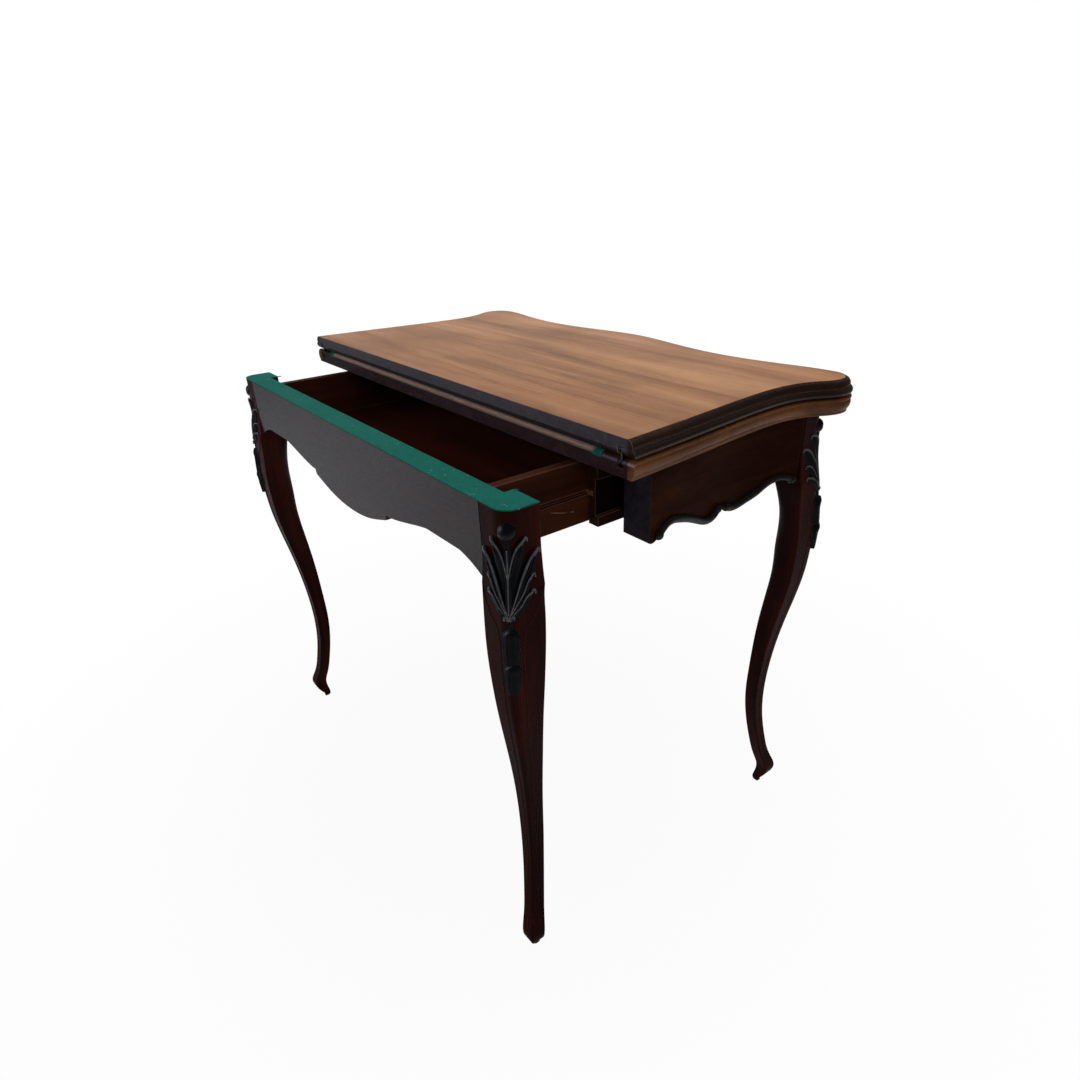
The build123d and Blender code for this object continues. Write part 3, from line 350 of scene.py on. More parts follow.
upper_lipping = wood(
    "upper_lipping", ((0.006, 0.0024, 0.0014), (0.02, 0.0075, 0.0036), (0.055, 0.022, 0.01)), "y", 4.0,
    rough=(0.2, 0.34), coat=1.0, shine=0.1, worn=(0.2, 0.1, 0.05), wear=(0.07, 0.25),
)
lower_lipping = wood(
    "lower_lipping", ((0.045, 0.015, 0.004), (0.125, 0.042, 0.011), (0.26, 0.1, 0.03)), "y", 4.0,
    rough=(0.2, 0.34), coat=0.8, shine=0.1, worn=(0.26, 0.12, 0.05), wear=(0.07, 0.25),
)
leg_wood = wood(
    "leg_wood", RED_SHADES, "z", 3.0, rough=(0.14, 0.3), coat=0.2, shine=0.02,
    worn=(0.1, 0.03, 0.014), wear=(0.09, 0.3),
)
apron_x_wood = wood(
    "apron_x_wood", RED_SHADES, "x", 3.0, rough=(0.26, 0.4), coat=1.0, coat_rough=0.16, shine=0.08,
    worn=(0.09, 0.03, 0.016), wear=(0.12, 0.4), scratches=0.05,
)
apron_y_wood = wood(
    "apron_y_wood", ((0.006, 0.0012, 0.0005), (0.021, 0.005, 0.002), (0.055, 0.015, 0.0055)), "y", 2.2,
    rough=(0.3, 0.45), coat=0.04, shine=0.02, worn=(0.08, 0.035, 0.02), wear=(0.09, 0.3),
    end_grain=(0.036, 0.03, 0.042),
)
tray_x_wood = wood(
    "tray_x_wood", ((0.04, 0.0065, 0.0022), (0.08, 0.0155, 0.006), (0.12, 0.03, 0.012)), "x",
    rough=(0.4, 0.6), shine=0.05, worn=(0.12, 0.05, 0.03), wear=(0.08, 0.28),
)
tray_y_wood = wood("tray_y_wood", **TRAY_LOOK)
rail_wood = wood("rail_wood", channel=True, **TRAY_LOOK)
# Near black: painted shade on the rail blocks deep in the frame
deep_shade_wood = wood(
    "deep_shade_wood", ((0.004, 0.0015, 0.001), (0.008, 0.003, 0.002), (0.014, 0.006, 0.004)), "y",
    rough=(0.5, 0.7), shine=0.03,
)
runner_wood = wood(
    "runner_wood", ((0.12, 0.05, 0.02), (0.24, 0.11, 0.045), (0.36, 0.18, 0.08)), "y", 5.0, shine=0.16,
)
scratch_tan = wood(
    "scratch_tan", ((0.12, 0.06, 0.03), (0.2, 0.11, 0.065), (0.28, 0.17, 0.11)), "y", 5.0, shine=0.16,
)
carving_black = black_wood("carving_black", (0.003, 0.0035, 0.006), (0.04, 0.04, 0.046))
# Pale grey rolled leaf edges: rubbed wear and a painted highlight along the edges
carving_edge_wear_and_highlight = black_wood("carving_edge_wear_and_highlight", (0.085, 0.09, 0.1), (0.4, 0.38, 0.34))
bud_black = black_wood("bud_black", (0.011, 0.0115, 0.013), (0.07, 0.068, 0.066), stipple=620.0, coat=0.6)
bead_black = black_wood("bead_black", (0.009, 0.0075, 0.0065), (0.12, 0.1, 0.08), coat=0.9)
green_baize = baize("green_baize", (0.0004, 0.094, 0.072))
lower_green = baize("lower_green", (0.0004, 0.085, 0.062), (0.4, 0.25, 0.18), 362 * MM)
upper_green = baize("upper_green", (0.0008, 0.085, 0.058), (0.022, 0.013, 0.011), 390 * MM)
hinge_brass = metal("hinge_brass", (0.03, 0.025, 0.024), (0.01, 0.008, 0.008), 0.45)
screw_steel = metal("screw_steel", (0.4, 0.38, 0.36), (0.08, 0.06, 0.05), 0.35)

MATERIALS = {
    "upper_leaf_panel": top_wood,
    "lower_leaf_panel": face_wood,
    "upper_leaf_moulding": upper_lipping,
    "lower_leaf_moulding": lower_lipping,
    "back_apron": apron_x_wood,
    "front_apron": apron_x_wood,
    "side_apron_left": apron_y_wood,
    "side_apron_right": apron_y_wood,
    "frame_top_strip": apron_x_wood,
    "rail_blocks": deep_shade_wood,
    "guide_rail_left": rail_wood,
    "guide_rail_right": rail_wood,
    "tray_bottom": tray_x_wood,
    "tray_end": tray_x_wood,
}


def material_of(node):
    """Material of a CAD node by its name."""
    if node in MATERIALS:
        return MATERIALS[node]
    if "_leg_" in node:
        return leg_wood
    if "carving" in node:
        return carving_black
    if "moulding" in node:
        return bead_black
    if "screws" in node:
        return screw_steel
    if "hinge" in node:
        return hinge_brass
    if "runners" in node:
        return runner_wood
    return tray_y_wood


for node_name, node_object in nodes.items():
    node_object.data.materials.clear()
    node_object.data.materials.append(material_of(node_name))

# Geometry helpers


def surface_tree(*names):
    """Ray-casting tree over the named CAD nodes."""
    joined = bmesh.new()
    for name in names:
        joined.from_mesh(nodes[name].data)
    tree = BVHTree.FromBMesh(joined)
    joined.free()
    return tree


def smooth_points(points, count):
    """Catmull-Rom samples through 2-D or 3-D points."""
    padded = [points[0]] + list(points) + [points[-1]]
    samples = []
    spans = len(points) - 1
    for step in range(count + 1):
        place = min(step / count * spans, spans - 1e-6)
        index = int(place)
        u = place - index
        a, b, c, d = padded[index:index + 4]
        samples.append(tuple(
            0.5 * (
                2 * q + (r - p) * u + (2 * p - 5 * q + 4 * r - s) * u * u
                + (3 * q - p - 3 * r + s) * u ** 3
            )
            for p, q, r, s in zip(a, b, c, d)
        ))
    return samples


def place_piece(name, data, material, body):
    """Puts a new curve or mesh into the scene, on its body and with its finish."""
    data.materials.append(material)
    piece = bpy.data.objects.new(name, data)
    bpy.context.scene.collection.objects.link(piece)
    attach(piece, body)
    return piece


def curve_piece(name, runs, bevel, material, body):
    """One curve object of several tapered runs; each run is a list of (point, radius factor)."""
    data = bpy.data.curves.new(name, "CURVE")
    data.dimensions = "3D"
    data.bevel_depth = bevel
    data.bevel_resolution = 2
    data.resolution_u = 3
    data.use_fill_caps = True
    for run in runs:
        spline = data.splines.new("POLY")
        spline.points.add(len(run) - 1)
        for point, (place, radius) in zip(spline.points, run):
            point.co = (*place, 1)
            point.radius = radius
    place_piece(name, data, material, body)


def mesh_piece(name, built, material, body, smooth=True):
    """Mesh object from a bmesh."""
    data = bpy.data.meshes.new(name)
    built.to_mesh(data)
    built.free()
    for polygon in data.polygons:
        polygon.use_smooth = smooth
    return place_piece(name, data, material, body)


def join_rows(built, rows):
    """Faces between each row of vertices and the next."""
    for lower, upper in zip(rows, rows[1:]):
        for index in range(len(lower) - 1):
            built.faces.new((lower[index], lower[index + 1], upper[index + 1], upper[index]))


# Knee carvings. Details are laid on each knee by casting rays along its diagonal. A place on a carving is
# two shares: one of its half width, across from the corner, and one of its height, up from its foot.

CARVING_HALF_WIDTH = 28.0 * MM
CARVING_FOOT = 479.0 * MM
CARVING_HEIGHT = 202.0 * MM
RAY_START = 80.0 * MM

# Each leaf of the fan has an upper and a lower edge, from its tip to its root
LEAF_EDGE_SHARES = [
    ([(0.607, 0.896), (0.321, 0.856), (0.143, 0.797), (0.0, 0.688)],
     [(0.607, 0.896), (0.589, 0.847), (0.429, 0.748), (0.0, 0.599)]),
    ([(1.0, 0.812), (0.75, 0.777), (0.464, 0.688), (0.25, 0.589), (0.0, 0.475)],
     [(1.0, 0.812), (0.982, 0.757), (0.821, 0.673), (0.536, 0.569), (0.0, 0.445)]),
    ([(0.821, 0.683), (0.679, 0.658), (0.5, 0.599), (0.071, 0.5)],
     [(0.821, 0.683), (0.804, 0.649), (0.607, 0.579), (0.071, 0.46)]),
    ([(0.821, 0.594), (0.643, 0.584), (0.429, 0.54), (0.0, 0.475)],
     [(0.821, 0.594), (0.714, 0.545), (0.429, 0.49), (0.0, 0.43)]),
]
ROLL_SHARE = 0.1
ROLL_SIZES = (1.0, 1.25, 0.8, 1.0)
TIP_REACH_SHARES = (0.07, 0.07, 0.09, 0.09)
VEIN_SHARES = ((0.45, 0.72), (0.45, 0.72), (0.55,), (0.55,))
STEM_RIB_SHARES = (0.05, 0.11)
COLLAR_SHARES = (0.472, 0.487)
HOOK_START_SHARE = 0.4
HOOK_TURN_SHARE = 0.8
HOOK_DROP_SHARES = (0.004, 0.002, 0.02)
COLLAR_HALF_SHARE = 0.2
COLLAR_DIP_SHARE = 0.004
RIM_SHARE = 0.97
ROLL_RADIUS = 1.25 * MM
VEIN_RADIUS = 0.75 * MM

# How far the middles of the laid runs stand off the carving
ROLL_LIFT = 0.4 * MM
HOOK_LIFT = 0.5 * MM
VEIN_LIFT = 0.2 * MM
STEM_LIFT = 0.3 * MM
RIM_LIFT = 0.1 * MM

# Half outlines of the two husks and of the ground that joins the leaves, from the foot up
HUSK_SHARES = [
    [(0.32, 0.203), (0.36, 0.3), (0.28, 0.385), (0.0, 0.42)],
    [(0.2, 0.0), (0.34, 0.09), (0.3, 0.175), (0.0, 0.205)],
]
FAN_GROUND_SHARES = [
    (0.1, 0.46), (0.3, 0.5), (0.5, 0.54), (0.6, 0.58), (0.63, 0.62), (0.68, 0.66), (0.72, 0.7), (0.72, 0.74),
    (0.58, 0.78), (0.4, 0.81), (0.27, 0.84), (0.12, 0.865),
]

# Outer corner of each leg's block, the signs of its X and Y, and its body
LEG_FACE_X = 402.0 * MM
FRONT_FACE_Y = 263.22 * MM
BACK_FACE_Y = -283.28 * MM
CORNERS = {
    "front_right": (LEG_FACE_X, FRONT_FACE_Y, 1, 1, "carcase"),
    "front_left": (-LEG_FACE_X, FRONT_FACE_Y, -1, 1, "carcase"),
    "back_right": (LEG_FACE_X, BACK_FACE_Y, 1, -1, "sliding_frame"),
    "back_left": (-LEG_FACE_X, BACK_FACE_Y, -1, -1, "sliding_frame"),
}
ROOT_HALF = math.sqrt(0.5)


class Knee:
    """Ray caster onto one knee, across and up from its outer corner."""

    def __init__(self, place, with_carving=True):
        self.x, self.y, sign_x, sign_y, self.body = CORNERS[place]
        row, side = place.split("_")
        names = [f"{row}_leg_{side}"] + ([f"{row}_carving_{side}"] if with_carving else [])
        self.tree = surface_tree(*names)
        self.out = Vector((sign_x * ROOT_HALF, sign_y * ROOT_HALF, 0))
        self.across = Vector((-sign_x * ROOT_HALF, sign_y * ROOT_HALF, 0))

    def on(self, across, level, lift=0.0):
        """Point of the surface, lifted off it."""
        start = Vector((self.x, self.y, level)) + self.across * across + self.out * RAY_START
        hit, normal, _, _ = self.tree.ray_cast(start, -self.out)
        if hit is None:
            return None
        if normal.dot(self.out) < 0:
            normal = -normal
        return hit + normal * lift

    def run(self, line, radius, lift=0.0):
        """Points with radii along a line of (across, level) points, where the rays hit."""
        laid = []
        for index, (across, level) in enumerate(line):
            place = self.on(across, level, lift)
            if place is not None:
                laid.append((place, radius(index / (len(line) - 1))))
        return laid


def carving_line(shares, side, count=16):
    """Sampled line in metres on one side of the carving."""
    return [
        (side * CARVING_HALF_WIDTH * a, CARVING_FOOT + CARVING_HEIGHT * b)
        for a, b in smooth_points(shares, count)
    ]


def between(first, second, share):
    """Line a share of the way between two edges."""
    return [tuple(a + (b - a) * share for a, b in zip(p, q)) for p, q in zip(first, second)]


def tip_hook(rolled, reach):
    """Short line from a rolled edge over the tip of its leaf and a little down."""
    (tip_a, tip_b), (near_a, near_b) = rolled[:2]
    start_a = tip_a + (near_a - tip_a) * HOOK_START_SHARE
    start_b = tip_b + (near_b - tip_b) * HOOK_START_SHARE
    start_drop, turn_drop, end_drop = HOOK_DROP_SHARES
    return [
        (start_a, start_b - start_drop), (tip_a, tip_b),
        (tip_a + reach * HOOK_TURN_SHARE, tip_b - turn_drop), (tip_a + reach, tip_b - end_drop),
    ]


BUD_LEVEL_SHARE = 0.935
BUD_RADIUS = 9.6 * MM
BUD_SINK = 9.2 * MM
BUD_HEIGHT_SHARE = 0.86
BUD_SUBDIVISIONS = 5
BUD_STIPPLE = 0.8 * MM
BUD_STIPPLE_TURNS = 30
BUD_STIPPLE_PHASES = (0.0, 1.3, 0.6)
BUD_STIPPLE_START = 0.35


def bud(knee, name):
    """Bud over the fan, stippled on its upper side."""
    centre = knee.on(0.0, CARVING_FOOT + CARVING_HEIGHT * BUD_LEVEL_SHARE) - knee.out * BUD_SINK
    built = bmesh.new()
    bmesh.ops.create_icosphere(built, subdivisions=BUD_SUBDIVISIONS, radius=BUD_RADIUS)
    for vertex in built.verts:
        direction = vertex.co.normalized()
        dots = math.prod(
            math.sin(part * BUD_STIPPLE_TURNS + phase) for part, phase in zip(direction, BUD_STIPPLE_PHASES)
        )
        top = min(1.0, max(0.0, direction.z + BUD_STIPPLE_START))
        vertex.co += direction * BUD_STIPPLE * dots * top
        vertex.co.z *= BUD_HEIGHT_SHARE
        vertex.co += centre
    mesh_piece(name, built, bud_black, knee.body)


HUSK_ROWS = 22
HUSK_COLUMNS = 20
HUSK_DOME = 1.9 * MM
HUSK_HEAD = 2.2 * MM
HUSK_SINK = 0.5 * MM
HUSK_TIP_SHARE = 0.004
HUSK_SKIN_SHARE = 0.98
HUSK_HEAD_SHARE = 0.84
HUSK_HEAD_SPREAD_SHARE = 0.13
HUSK_RIB_SHARE = 0.22
HUSK_RIB_TURNS = 4.5


def husk_shell(knee, outline, name):
    """Ribbed bell husk: a domed skin over the husk's outline, with a rounded head."""
    built = bmesh.new()
    rows = []
    for a, b in smooth_points(outline, HUSK_ROWS):
        half = max(a, HUSK_TIP_SHARE) * CARVING_HALF_WIDTH
        level = CARVING_FOOT + CARVING_HEIGHT * b
        up = (b - outline[0][1]) / (outline[-1][1] - outline[0][1])
        head = math.exp(-(((up - HUSK_HEAD_SHARE) / HUSK_HEAD_SPREAD_SHARE) ** 2))
        row = []
        for column in range(HUSK_COLUMNS + 1):
            across = column / HUSK_COLUMNS * 2 - 1
            place = knee.on(across * half * HUSK_SKIN_SHARE, level)
            if place is None:
                place = Vector((knee.x, knee.y, level))
            dome = math.sqrt(max(0.0, 1 - across * across)) * (HUSK_DOME + HUSK_HEAD * head)
            rib = HUSK_RIB_SHARE * math.cos(across * math.pi * HUSK_RIB_TURNS) * (1 - head)
            row.append(built.verts.new(place + knee.out * (dome * (1 + rib) - HUSK_SINK)))
        rows.append(row)
    join_rows(built, rows)
    mesh_piece(name, built, carving_black, knee.body)


GROUND_ROWS = 30
GROUND_COLUMNS = 14
GROUND_DOME = 1.1 * MM
GROUND_SINK = 0.15 * MM


def fan_ground(knee, name):
    """Thin dark ground that joins the leaves of the fan."""
    built = bmesh.new()
    rows = []
    for a, b in smooth_points(FAN_GROUND_SHARES, GROUND_ROWS):
        row = []
        for column in range(GROUND_COLUMNS + 1):
            across = column / GROUND_COLUMNS * 2 - 1
            place = knee.on(across * a * CARVING_HALF_WIDTH, CARVING_FOOT + CARVING_HEIGHT * b)
            dome = GROUND_DOME * math.sqrt(1.0 - across * across)
            row.append(built.verts.new(place + knee.out * (dome - GROUND_SINK)))
        rows.append(row)
    join_rows(built, rows)
    mesh_piece(name, built, carving_black, knee.body)


def roll_taper(size):
    """Radius factors of a rolled edge, thick at the leaf's tip."""
    return lambda u: size * (1.15 - 0.85 * u)


def hook_taper(size):
    """Radius factors of a tip's hook, thickest near its middle."""
    return lambda u: size * (1.2 - 0.7 * abs(u - 0.45))


def vein_taper(u):
    """Radius factor of a vein, thin at both ends."""
    return 0.25 + 0.9 * math.sin(math.pi * min(1, u + 0.1))


def dress_knee(place):
    """Ground, rolled edges, veins, ribs, husks and bud of one knee."""
    fan_ground(Knee(place, False), f"{place}_fan_ground")
    knee = Knee(place)
    leaves = list(zip(LEAF_EDGE_SHARES, ROLL_SIZES, TIP_REACH_SHARES, VEIN_SHARES))
    rolls = []
    veins = []
    for side in (-1, 1):
        for (upper, lower), size, reach, shares in leaves:
            rolled = between(upper, lower, ROLL_SHARE)
            hook = carving_line(tip_hook(rolled, reach), side, 10)
            rolls.append(knee.run(carving_line(rolled, side), roll_taper(size), ROLL_LIFT))
            rolls.append(knee.run(hook, hook_taper(size), HOOK_LIFT))
            for share in shares:
                vein = carving_line(between(upper, lower, share)[:-1], side)
                veins.append(knee.run(vein, vein_taper, VEIN_LIFT))
        for offset in STEM_RIB_SHARES:
            rib = [(offset, 0.8), (offset * 0.9, 0.7), (offset * 0.7, 0.6), (offset * 0.6, 0.49)]
            veins.append(knee.run(carving_line(rib, side), lambda u: 0.8, VEIN_LIFT))
    stem = [(0.0, 0.85), (0.0, 0.7), (0.0, 0.5)]
    rolls.append(knee.run(carving_line(stem, 1), lambda u: 0.7, STEM_LIFT))
    for level in COLLAR_SHARES:
        collar = [(-COLLAR_HALF_SHARE, level), (0.0, level - COLLAR_DIP_SHARE), (COLLAR_HALF_SHARE, level)]
        rolls.append(knee.run(carving_line(collar, 1), lambda u: 0.9, ROLL_LIFT))
    for outline in HUSK_SHARES:
        for side in (-1, 1):
            rim = [(a * RIM_SHARE, b) for a, b in outline]
            veins.append(knee.run(carving_line(rim, side), lambda u: 0.9, RIM_LIFT))
    rolls = [run for run in rolls if len(run) > 2]
    veins = [run for run in veins if len(run) > 2]
    # The rolled edges carry a painted highlight as well as rubbed wear
    curve_piece(f"{place}_leaf_edges", rolls, ROLL_RADIUS, carving_edge_wear_and_highlight, knee.body)
    curve_piece(f"{place}_leaf_veins", veins, VEIN_RADIUS, carving_black, knee.body)
    for number, outline in enumerate(HUSK_SHARES, 1):
        husk_shell(knee, outline, f"{place}_husk_{number}")
    bud(knee, f"{place}_bud")


# Fine beads that border the front strip of each leg. The first table has levels and shares of the leg's
# half width, the second has levels and the leg's widths. Levels and widths are in millimetres.

BEAD_SHARES = [
    (597, 0.93), (585, 0.86), (570, 0.7), (560, 0.5), (550, 0.4), (520, 0.37), (480, 0.4), (442, 0.41),
    (400, 0.4), (350, 0.4), (300, 0.4), (250, 0.4), (200, 0.4), (150, 0.4), (100, 0.42), (60, 0.45),
    (38, 0.5),
]
LEG_WIDTHS = [
    (0, 9), (18, 18.5), (36, 23.5), (60, 22.5), (100, 21.5), (150, 22), (200, 23.3), (250, 25), (300, 28),
    (350, 32.5), (400, 37.5), (442, 42), (480, 46), (510, 48.5), (540, 50), (570, 50), (600, 50.3),
]
BEAD_RADIUS = 0.6 * MM
BEAD_LIFT = 0.1 * MM
BEAD_STEPS = 60


def leg_width(level):
    """Side of the leg's section at a level, in millimetres."""
    for (low, first), (high, second) in zip(LEG_WIDTHS, LEG_WIDTHS[1:]):
        if low <= level <= high:
            return first + (second - first) * (level - low) / (high - low)
    return LEG_WIDTHS[-1][1]


def leg_beads(place):
    """Pair of fine beads down one leg."""
    knee = Knee(place, False)
    runs = []
    for side in (-1, 1):
        line = [
            (side * share * leg_width(level) * ROOT_HALF * MM, level * MM)
            for level, share in smooth_points(BEAD_SHARES, BEAD_STEPS)
        ]
        runs.append(knee.run(line, lambda u: 1.0, BEAD_LIFT))
    curve_piece(f"{place}_leg_beads", runs, BEAD_RADIUS, leg_wood, knee.body)


for corner in CORNERS:
    dress_knee(corner)
    leg_beads(corner)

# Cloth

LEAF_CELL = 40 * MM
LEAF_WOBBLE = 0.05 * MM
STRIP_CELL = 20 * MM
STRIP_WOBBLE = 0.12 * MM
WOBBLE_WAVES = (61, 37, 53, 19)


def cloth_from(node, name, material, body, cell, wobble):
    """Sheet that takes the node's place: its skin cut into small cells and let down unevenly."""
    built = bmesh.new()
    built.from_mesh(nodes[node].data)
    bmesh.ops.remove_doubles(built, verts=built.verts, dist=1e-6)
    low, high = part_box(node)
    for axis in (0, 1):
        count = int((high[axis] - low[axis]) / cell)
        for step in range(1, count):
            place = Vector((0, 0, 0))
            place[axis] = low[axis] + (high[axis] - low[axis]) * step / count
            normal = Vector((0, 0, 0))
            normal[axis] = 1
            bmesh.ops.bisect_plane(
                built, geom=built.verts[:] + built.edges[:] + built.faces[:], plane_co=place, plane_no=normal
            )
    for vertex in built.verts:
        x, y, _ = vertex.co
        first = math.sin(x * WOBBLE_WAVES[0] + y * WOBBLE_WAVES[1])
        second = math.cos(y * WOBBLE_WAVES[2] - x * WOBBLE_WAVES[3])
        vertex.co.z += wobble * first * second
    piece = mesh_piece(name, built, material, body, False)
    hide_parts(node)


cloth_from(
    "frame_baize", "frame_cloth", green_baize, "sliding_frame",
    STRIP_CELL, STRIP_WOBBLE,
)
cloth_from(
    "lower_leaf_baize", "lower_leaf_cloth", lower_green, "carcase",
    LEAF_CELL, LEAF_WOBBLE,
)
cloth_from(
    "upper_leaf_baize", "upper_leaf_cloth", upper_green, "upper_leaf",
    LEAF_CELL, LEAF_WOBBLE,
)

# Frayed fibres along the frame cloth's edges, and a tuft at each inner corner

CLOTH_ON_STRIP = 33 * MM
CLOTH_ON_LEG = 46 * MM
LEG_CLOTH_FROM = 352 * MM
FIBRE_RADIUS = 0.22 * MM
EDGE_FIBRES = 150
EDGE_MARGIN = 20 * MM
FIBRE_INSET = 0.6 * MM
FIBRE_ARCH = 0.1 * MM
TUFT_FIBRES = 26
TUFT_X = 357.2 * MM
TUFT_INSET = 0.5 * MM
TUFT_DEPTH = 0.4 * MM

# Limits of the random draws, in millimetres
FIBRE_DEPTHS = (0.2, 0.9)
FIBRE_REACHES = (0.6, 1.8)
TUFT_BENDS = ((-3, 2), (1, 6.5), (-1, 0.1))


def fray():
    """Short stray fibres."""
    low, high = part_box("frame_baize")
    level = high[2]
    runs = []
    for index in range(EDGE_FIBRES):
        x = random.uniform(low[0] + EDGE_MARGIN, high[0] - EDGE_MARGIN)
        if index % 2 == 0:
            y, away = low[1], -1
        else:
            y, away = low[1] + (CLOTH_ON_LEG if abs(x) > LEG_CLOTH_FROM else CLOTH_ON_STRIP), 1
        start = Vector((x, y - away * FIBRE_INSET, level - random.uniform(*FIBRE_DEPTHS) * MM))
        reach = random.uniform(*FIBRE_REACHES) * MM
        end = start + Vector((random.uniform(-1, 1) * reach, away * reach, random.uniform(-0.6, 0.0) * reach))
        runs.append([(start, 1.0), ((start + end) / 2 + Vector((0, 0, FIBRE_ARCH)), 0.8), (end, 0.4)])
    for side in (-1, 1):
        for _ in range(TUFT_FIBRES):
            start = Vector((side * TUFT_X, low[1] + CLOTH_ON_LEG - TUFT_INSET, level - TUFT_DEPTH))
            end = start + Vector([random.uniform(*limits) for limits in TUFT_BENDS]) * MM
            runs.append([(start, 1.0), ((start + end) / 2, 0.9), (end, 0.5)])
    curve_piece("frame_cloth_fray", runs, FIBRE_RADIUS, green_baize, "sliding_frame")


fray()

# Long pale scratch on the tray's side, blunt at its far end

SCRATCH_SINK = 0.4 * MM
SCRATCH_Y = -178.23 * MM
SCRATCH_LENGTH = 46.1 * MM
SCRATCH_LEVEL = 638.6 * MM
SCRATCH_FALL = 10.8 * MM
SCRATCH_SWAY = 0.5 * MM
SCRATCH_RADIUS = 0.55 * MM
SCRATCH_STEPS = 20
SCRATCH_TURNS = 7
SCRATCH_TIP = 0.2
SCRATCH_TAPER = 1.05
SCRATCH_BLUNT = 0.8
SCRATCH_BLUNT_SHARE = 0.85

scratch_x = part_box("tray_side_right")[1][0] - SCRATCH_SINK
scratch = []
for step in range(SCRATCH_STEPS + 1):
    u = step / SCRATCH_STEPS
    level = SCRATCH_LEVEL - SCRATCH_FALL * u + SCRATCH_SWAY * math.sin(SCRATCH_TURNS * u)
    width = SCRATCH_TIP + math.sin(math.pi * min(1.0, u * SCRATCH_TAPER))
    if u > SCRATCH_BLUNT_SHARE:
        width += SCRATCH_BLUNT
    scratch.append((Vector((scratch_x, SCRATCH_Y + SCRATCH_LENGTH * u, level)), width))
curve_piece("tray_side_scratch", [scratch], SCRATCH_RADIUS, scratch_tan, "sliding_frame")

# Stage: a pale floor that the camera sees as white, a little darker near the table, with its shadow

FLOOR_REACH = 9
FLOOR_DROP = 0.4 * MM
floor_data = bpy.data.meshes.new("floor")
floor_corners = [(x * FLOOR_REACH, y * FLOOR_REACH, 0) for x, y in ((-1, -1), (1, -1), (1, 1), (-1, 1))]
floor_data.from_pydata(floor_corners, [], [(0, 1, 2, 3)])
floor = bpy.data.objects.new("floor", floor_data)
bpy.context.scene.collection.objects.link(floor)
floor.location.z = -FLOOR_DROP
floor_material, floor_tree, floor_shader = new_material("pale_floor")
floor_tint = noise(floor_tree, object_coordinates(floor_tree), 3.0, detail=3.0, roughness=0.5)
floor_colour = ramp(floor_tree, floor_tint, [(0.2, 0.24), (0.8, 0.27)])
floor_tree.links.new(floor_colour, floor_shader.inputs["Base Color"])
floor_shader.inputs["Roughness"].default_value = 0.9
floor_shader.inputs["Specular IOR Level"].default_value = 0.1
white = floor_tree.nodes.new("ShaderNodeEmission")
white.inputs["Color"].default_value = (1, 1, 1, 1)
distance = floor_tree.nodes.new("ShaderNodeVectorMath")
distance.operation = "LENGTH"
floor_tree.links.new(object_coordinates(floor_tree), distance.inputs[0])
whiteness = ramp(floor_tree, multiply(floor_tree, distance.outputs["Value"], 0.5), [(0.1, 0.94), (0.6, 1.0)])
floor_ray = floor_tree.nodes.new("ShaderNodeLightPath")
floor_blend = floor_tree.nodes.new("ShaderNodeMixShader")
white_share = multiply(floor_tree, whiteness, floor_ray.outputs["Is Camera Ray"])
floor_tree.links.new(white_share, floor_blend.inputs[0])
floor_tree.links.new(floor_shader.outputs["BSDF"], floor_blend.inputs[1])
floor_tree.links.new(white.outputs["Emission"], floor_blend.inputs[2])
floor_output = next(node for node in floor_tree.nodes if node.type == "OUTPUT_MATERIAL")
floor_tree.links.new(floor_blend.outputs["Shader"], floor_output.inputs["Surface"])
floor_data.materials.append(floor_material)

# Lights: the first three light the surfaces, the last three only show in the polish. A panel is its place,
# the point that it faces and its two sides.

WINDOW = ((-1.9, -2.7, 1.5), (0, 0, 0.55), (2.2, 1.9))
OVERHEAD = ((-0.7, 1.7, 3.0), (0, 0, 0.6), (3.0, 2.4))
FILL = ((3.0, -0.6, 1.8), (0, 0, 0.5), (2.4, 2.0))
FAR_STRIP = ((-3.0, 2.2, 1.15), (0, 0, 0.8), (4.0, 0.7))
LIGHTS = [
    ("window", WINDOW, 40, (0.84, 0.87, 1.0), False),
    ("overhead", OVERHEAD, 120, (1.0, 0.98, 0.95), False),
    ("fill", FILL, 34, (1.0, 0.96, 0.92), False),
    ("window_gleam", WINDOW, 230, (0.78, 0.84, 1.0), True),
    ("overhead_gleam", OVERHEAD, 60, (1.0, 0.98, 0.95), True),
    ("far_gleam", FAR_STRIP, 8, (0.95, 0.97, 1.0), True),
]


def soft_light(name, panel, power, colour, gleam):
    """Area light on a panel, unseen by the camera; a gleam shows only in the polish."""
    place, target, size = panel
    data = bpy.data.lights.new(name, "AREA")
    data.shape = "RECTANGLE"
    data.size, data.size_y = size
    data.energy = power
    data.color = colour
    light = bpy.data.objects.new(name, data)
    light.location = place
    light.rotation_euler = (Vector(target) - Vector(place)).to_track_quat("-Z", "Y").to_euler()
    light.visible_camera = False
    light.visible_glossy = gleam
    light.visible_diffuse = not gleam
    bpy.context.scene.collection.objects.link(light)


for light_values in LIGHTS:
    soft_light(*light_values)

# World: white to the camera, a plain soft light for the surfaces, and dimmer in the polish

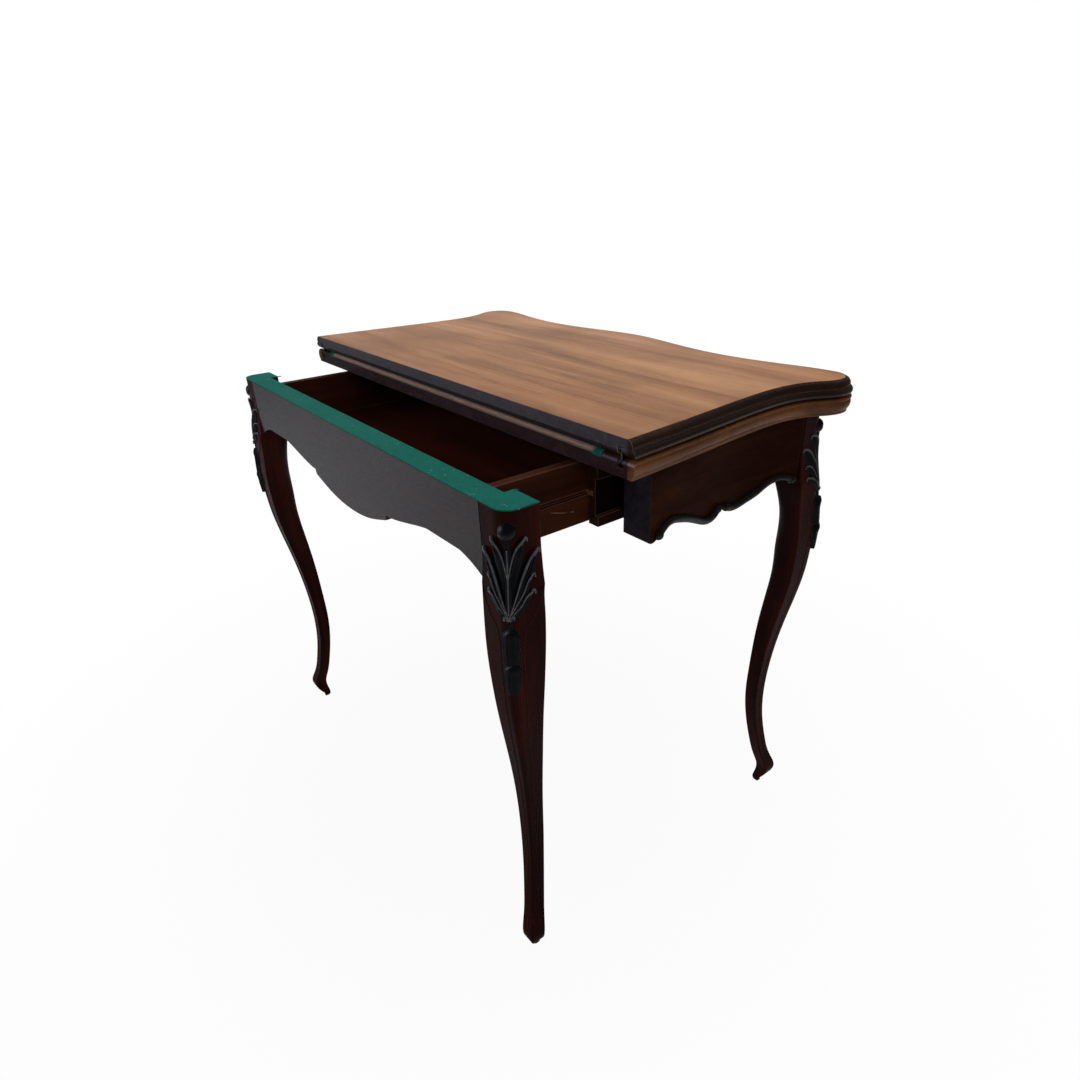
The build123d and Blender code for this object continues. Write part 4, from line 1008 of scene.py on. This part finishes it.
AMBIENT = 0.22
AMBIENT_CUT_IN_POLISH = 0.17
world = bpy.data.worlds.new("studio")
bpy.context.scene.world = world
world.use_nodes = True
world_tree = world.node_tree
world_tree.nodes.clear()
world_output = world_tree.nodes.new("ShaderNodeOutputWorld")
seen = world_tree.nodes.new("ShaderNodeBackground")
seen.inputs["Color"].default_value = (1, 1, 1, 1)
seen.inputs["Strength"].default_value = 1.0
lit = world_tree.nodes.new("ShaderNodeBackground")
lit.inputs["Color"].default_value = (0.93, 0.96, 1.0, 1)
ray = world_tree.nodes.new("ShaderNodeLightPath")
cut = multiply(world_tree, ray.outputs["Is Glossy Ray"], AMBIENT_CUT_IN_POLISH)
world_tree.links.new(calculate(world_tree, "SUBTRACT", AMBIENT, cut), lit.inputs["Strength"])
chooser = world_tree.nodes.new("ShaderNodeMixShader")
world_tree.links.new(ray.outputs["Is Camera Ray"], chooser.inputs[0])
world_tree.links.new(lit.outputs[0], chooser.inputs[1])
world_tree.links.new(seen.outputs[0], chooser.inputs[2])
world_tree.links.new(chooser.outputs[0], world_output.inputs["Surface"])

# Camera, fitted to the photograph: its place, its axes, its focal length and middle in pixels

PICTURE = 1080
FOCAL = 725.367
MIDDLE = (562.17, 574.69)
SENSOR = 36.0
NEAREST = 10 * MM
CAMERA_PLACE = (0.95667, -0.64306, 0.98053)
RIGHT = Vector((0.62454, 0.7806, -0.02484))
DOWN = Vector((0.35817, -0.31454, -0.87908))
FORWARD = Vector((-0.69402, 0.54012, -0.47603))
camera_data = bpy.data.cameras.new("camera")
camera = bpy.data.objects.new("camera", camera_data)
bpy.context.scene.collection.objects.link(camera)
turn = Matrix((RIGHT, -DOWN, -FORWARD)).transposed()
camera.matrix_world = Matrix.Translation(CAMERA_PLACE) @ turn.to_4x4()
camera_data.sensor_width = SENSOR
camera_data.lens = FOCAL / PICTURE * SENSOR
camera_data.shift_x = (PICTURE / 2 - MIDDLE[0]) / PICTURE
camera_data.shift_y = (MIDDLE[1] - PICTURE / 2) / PICTURE
camera_data.clip_start = NEAREST
bpy.context.scene.camera = camera
bpy.context.scene.view_settings.view_transform = "Standard"
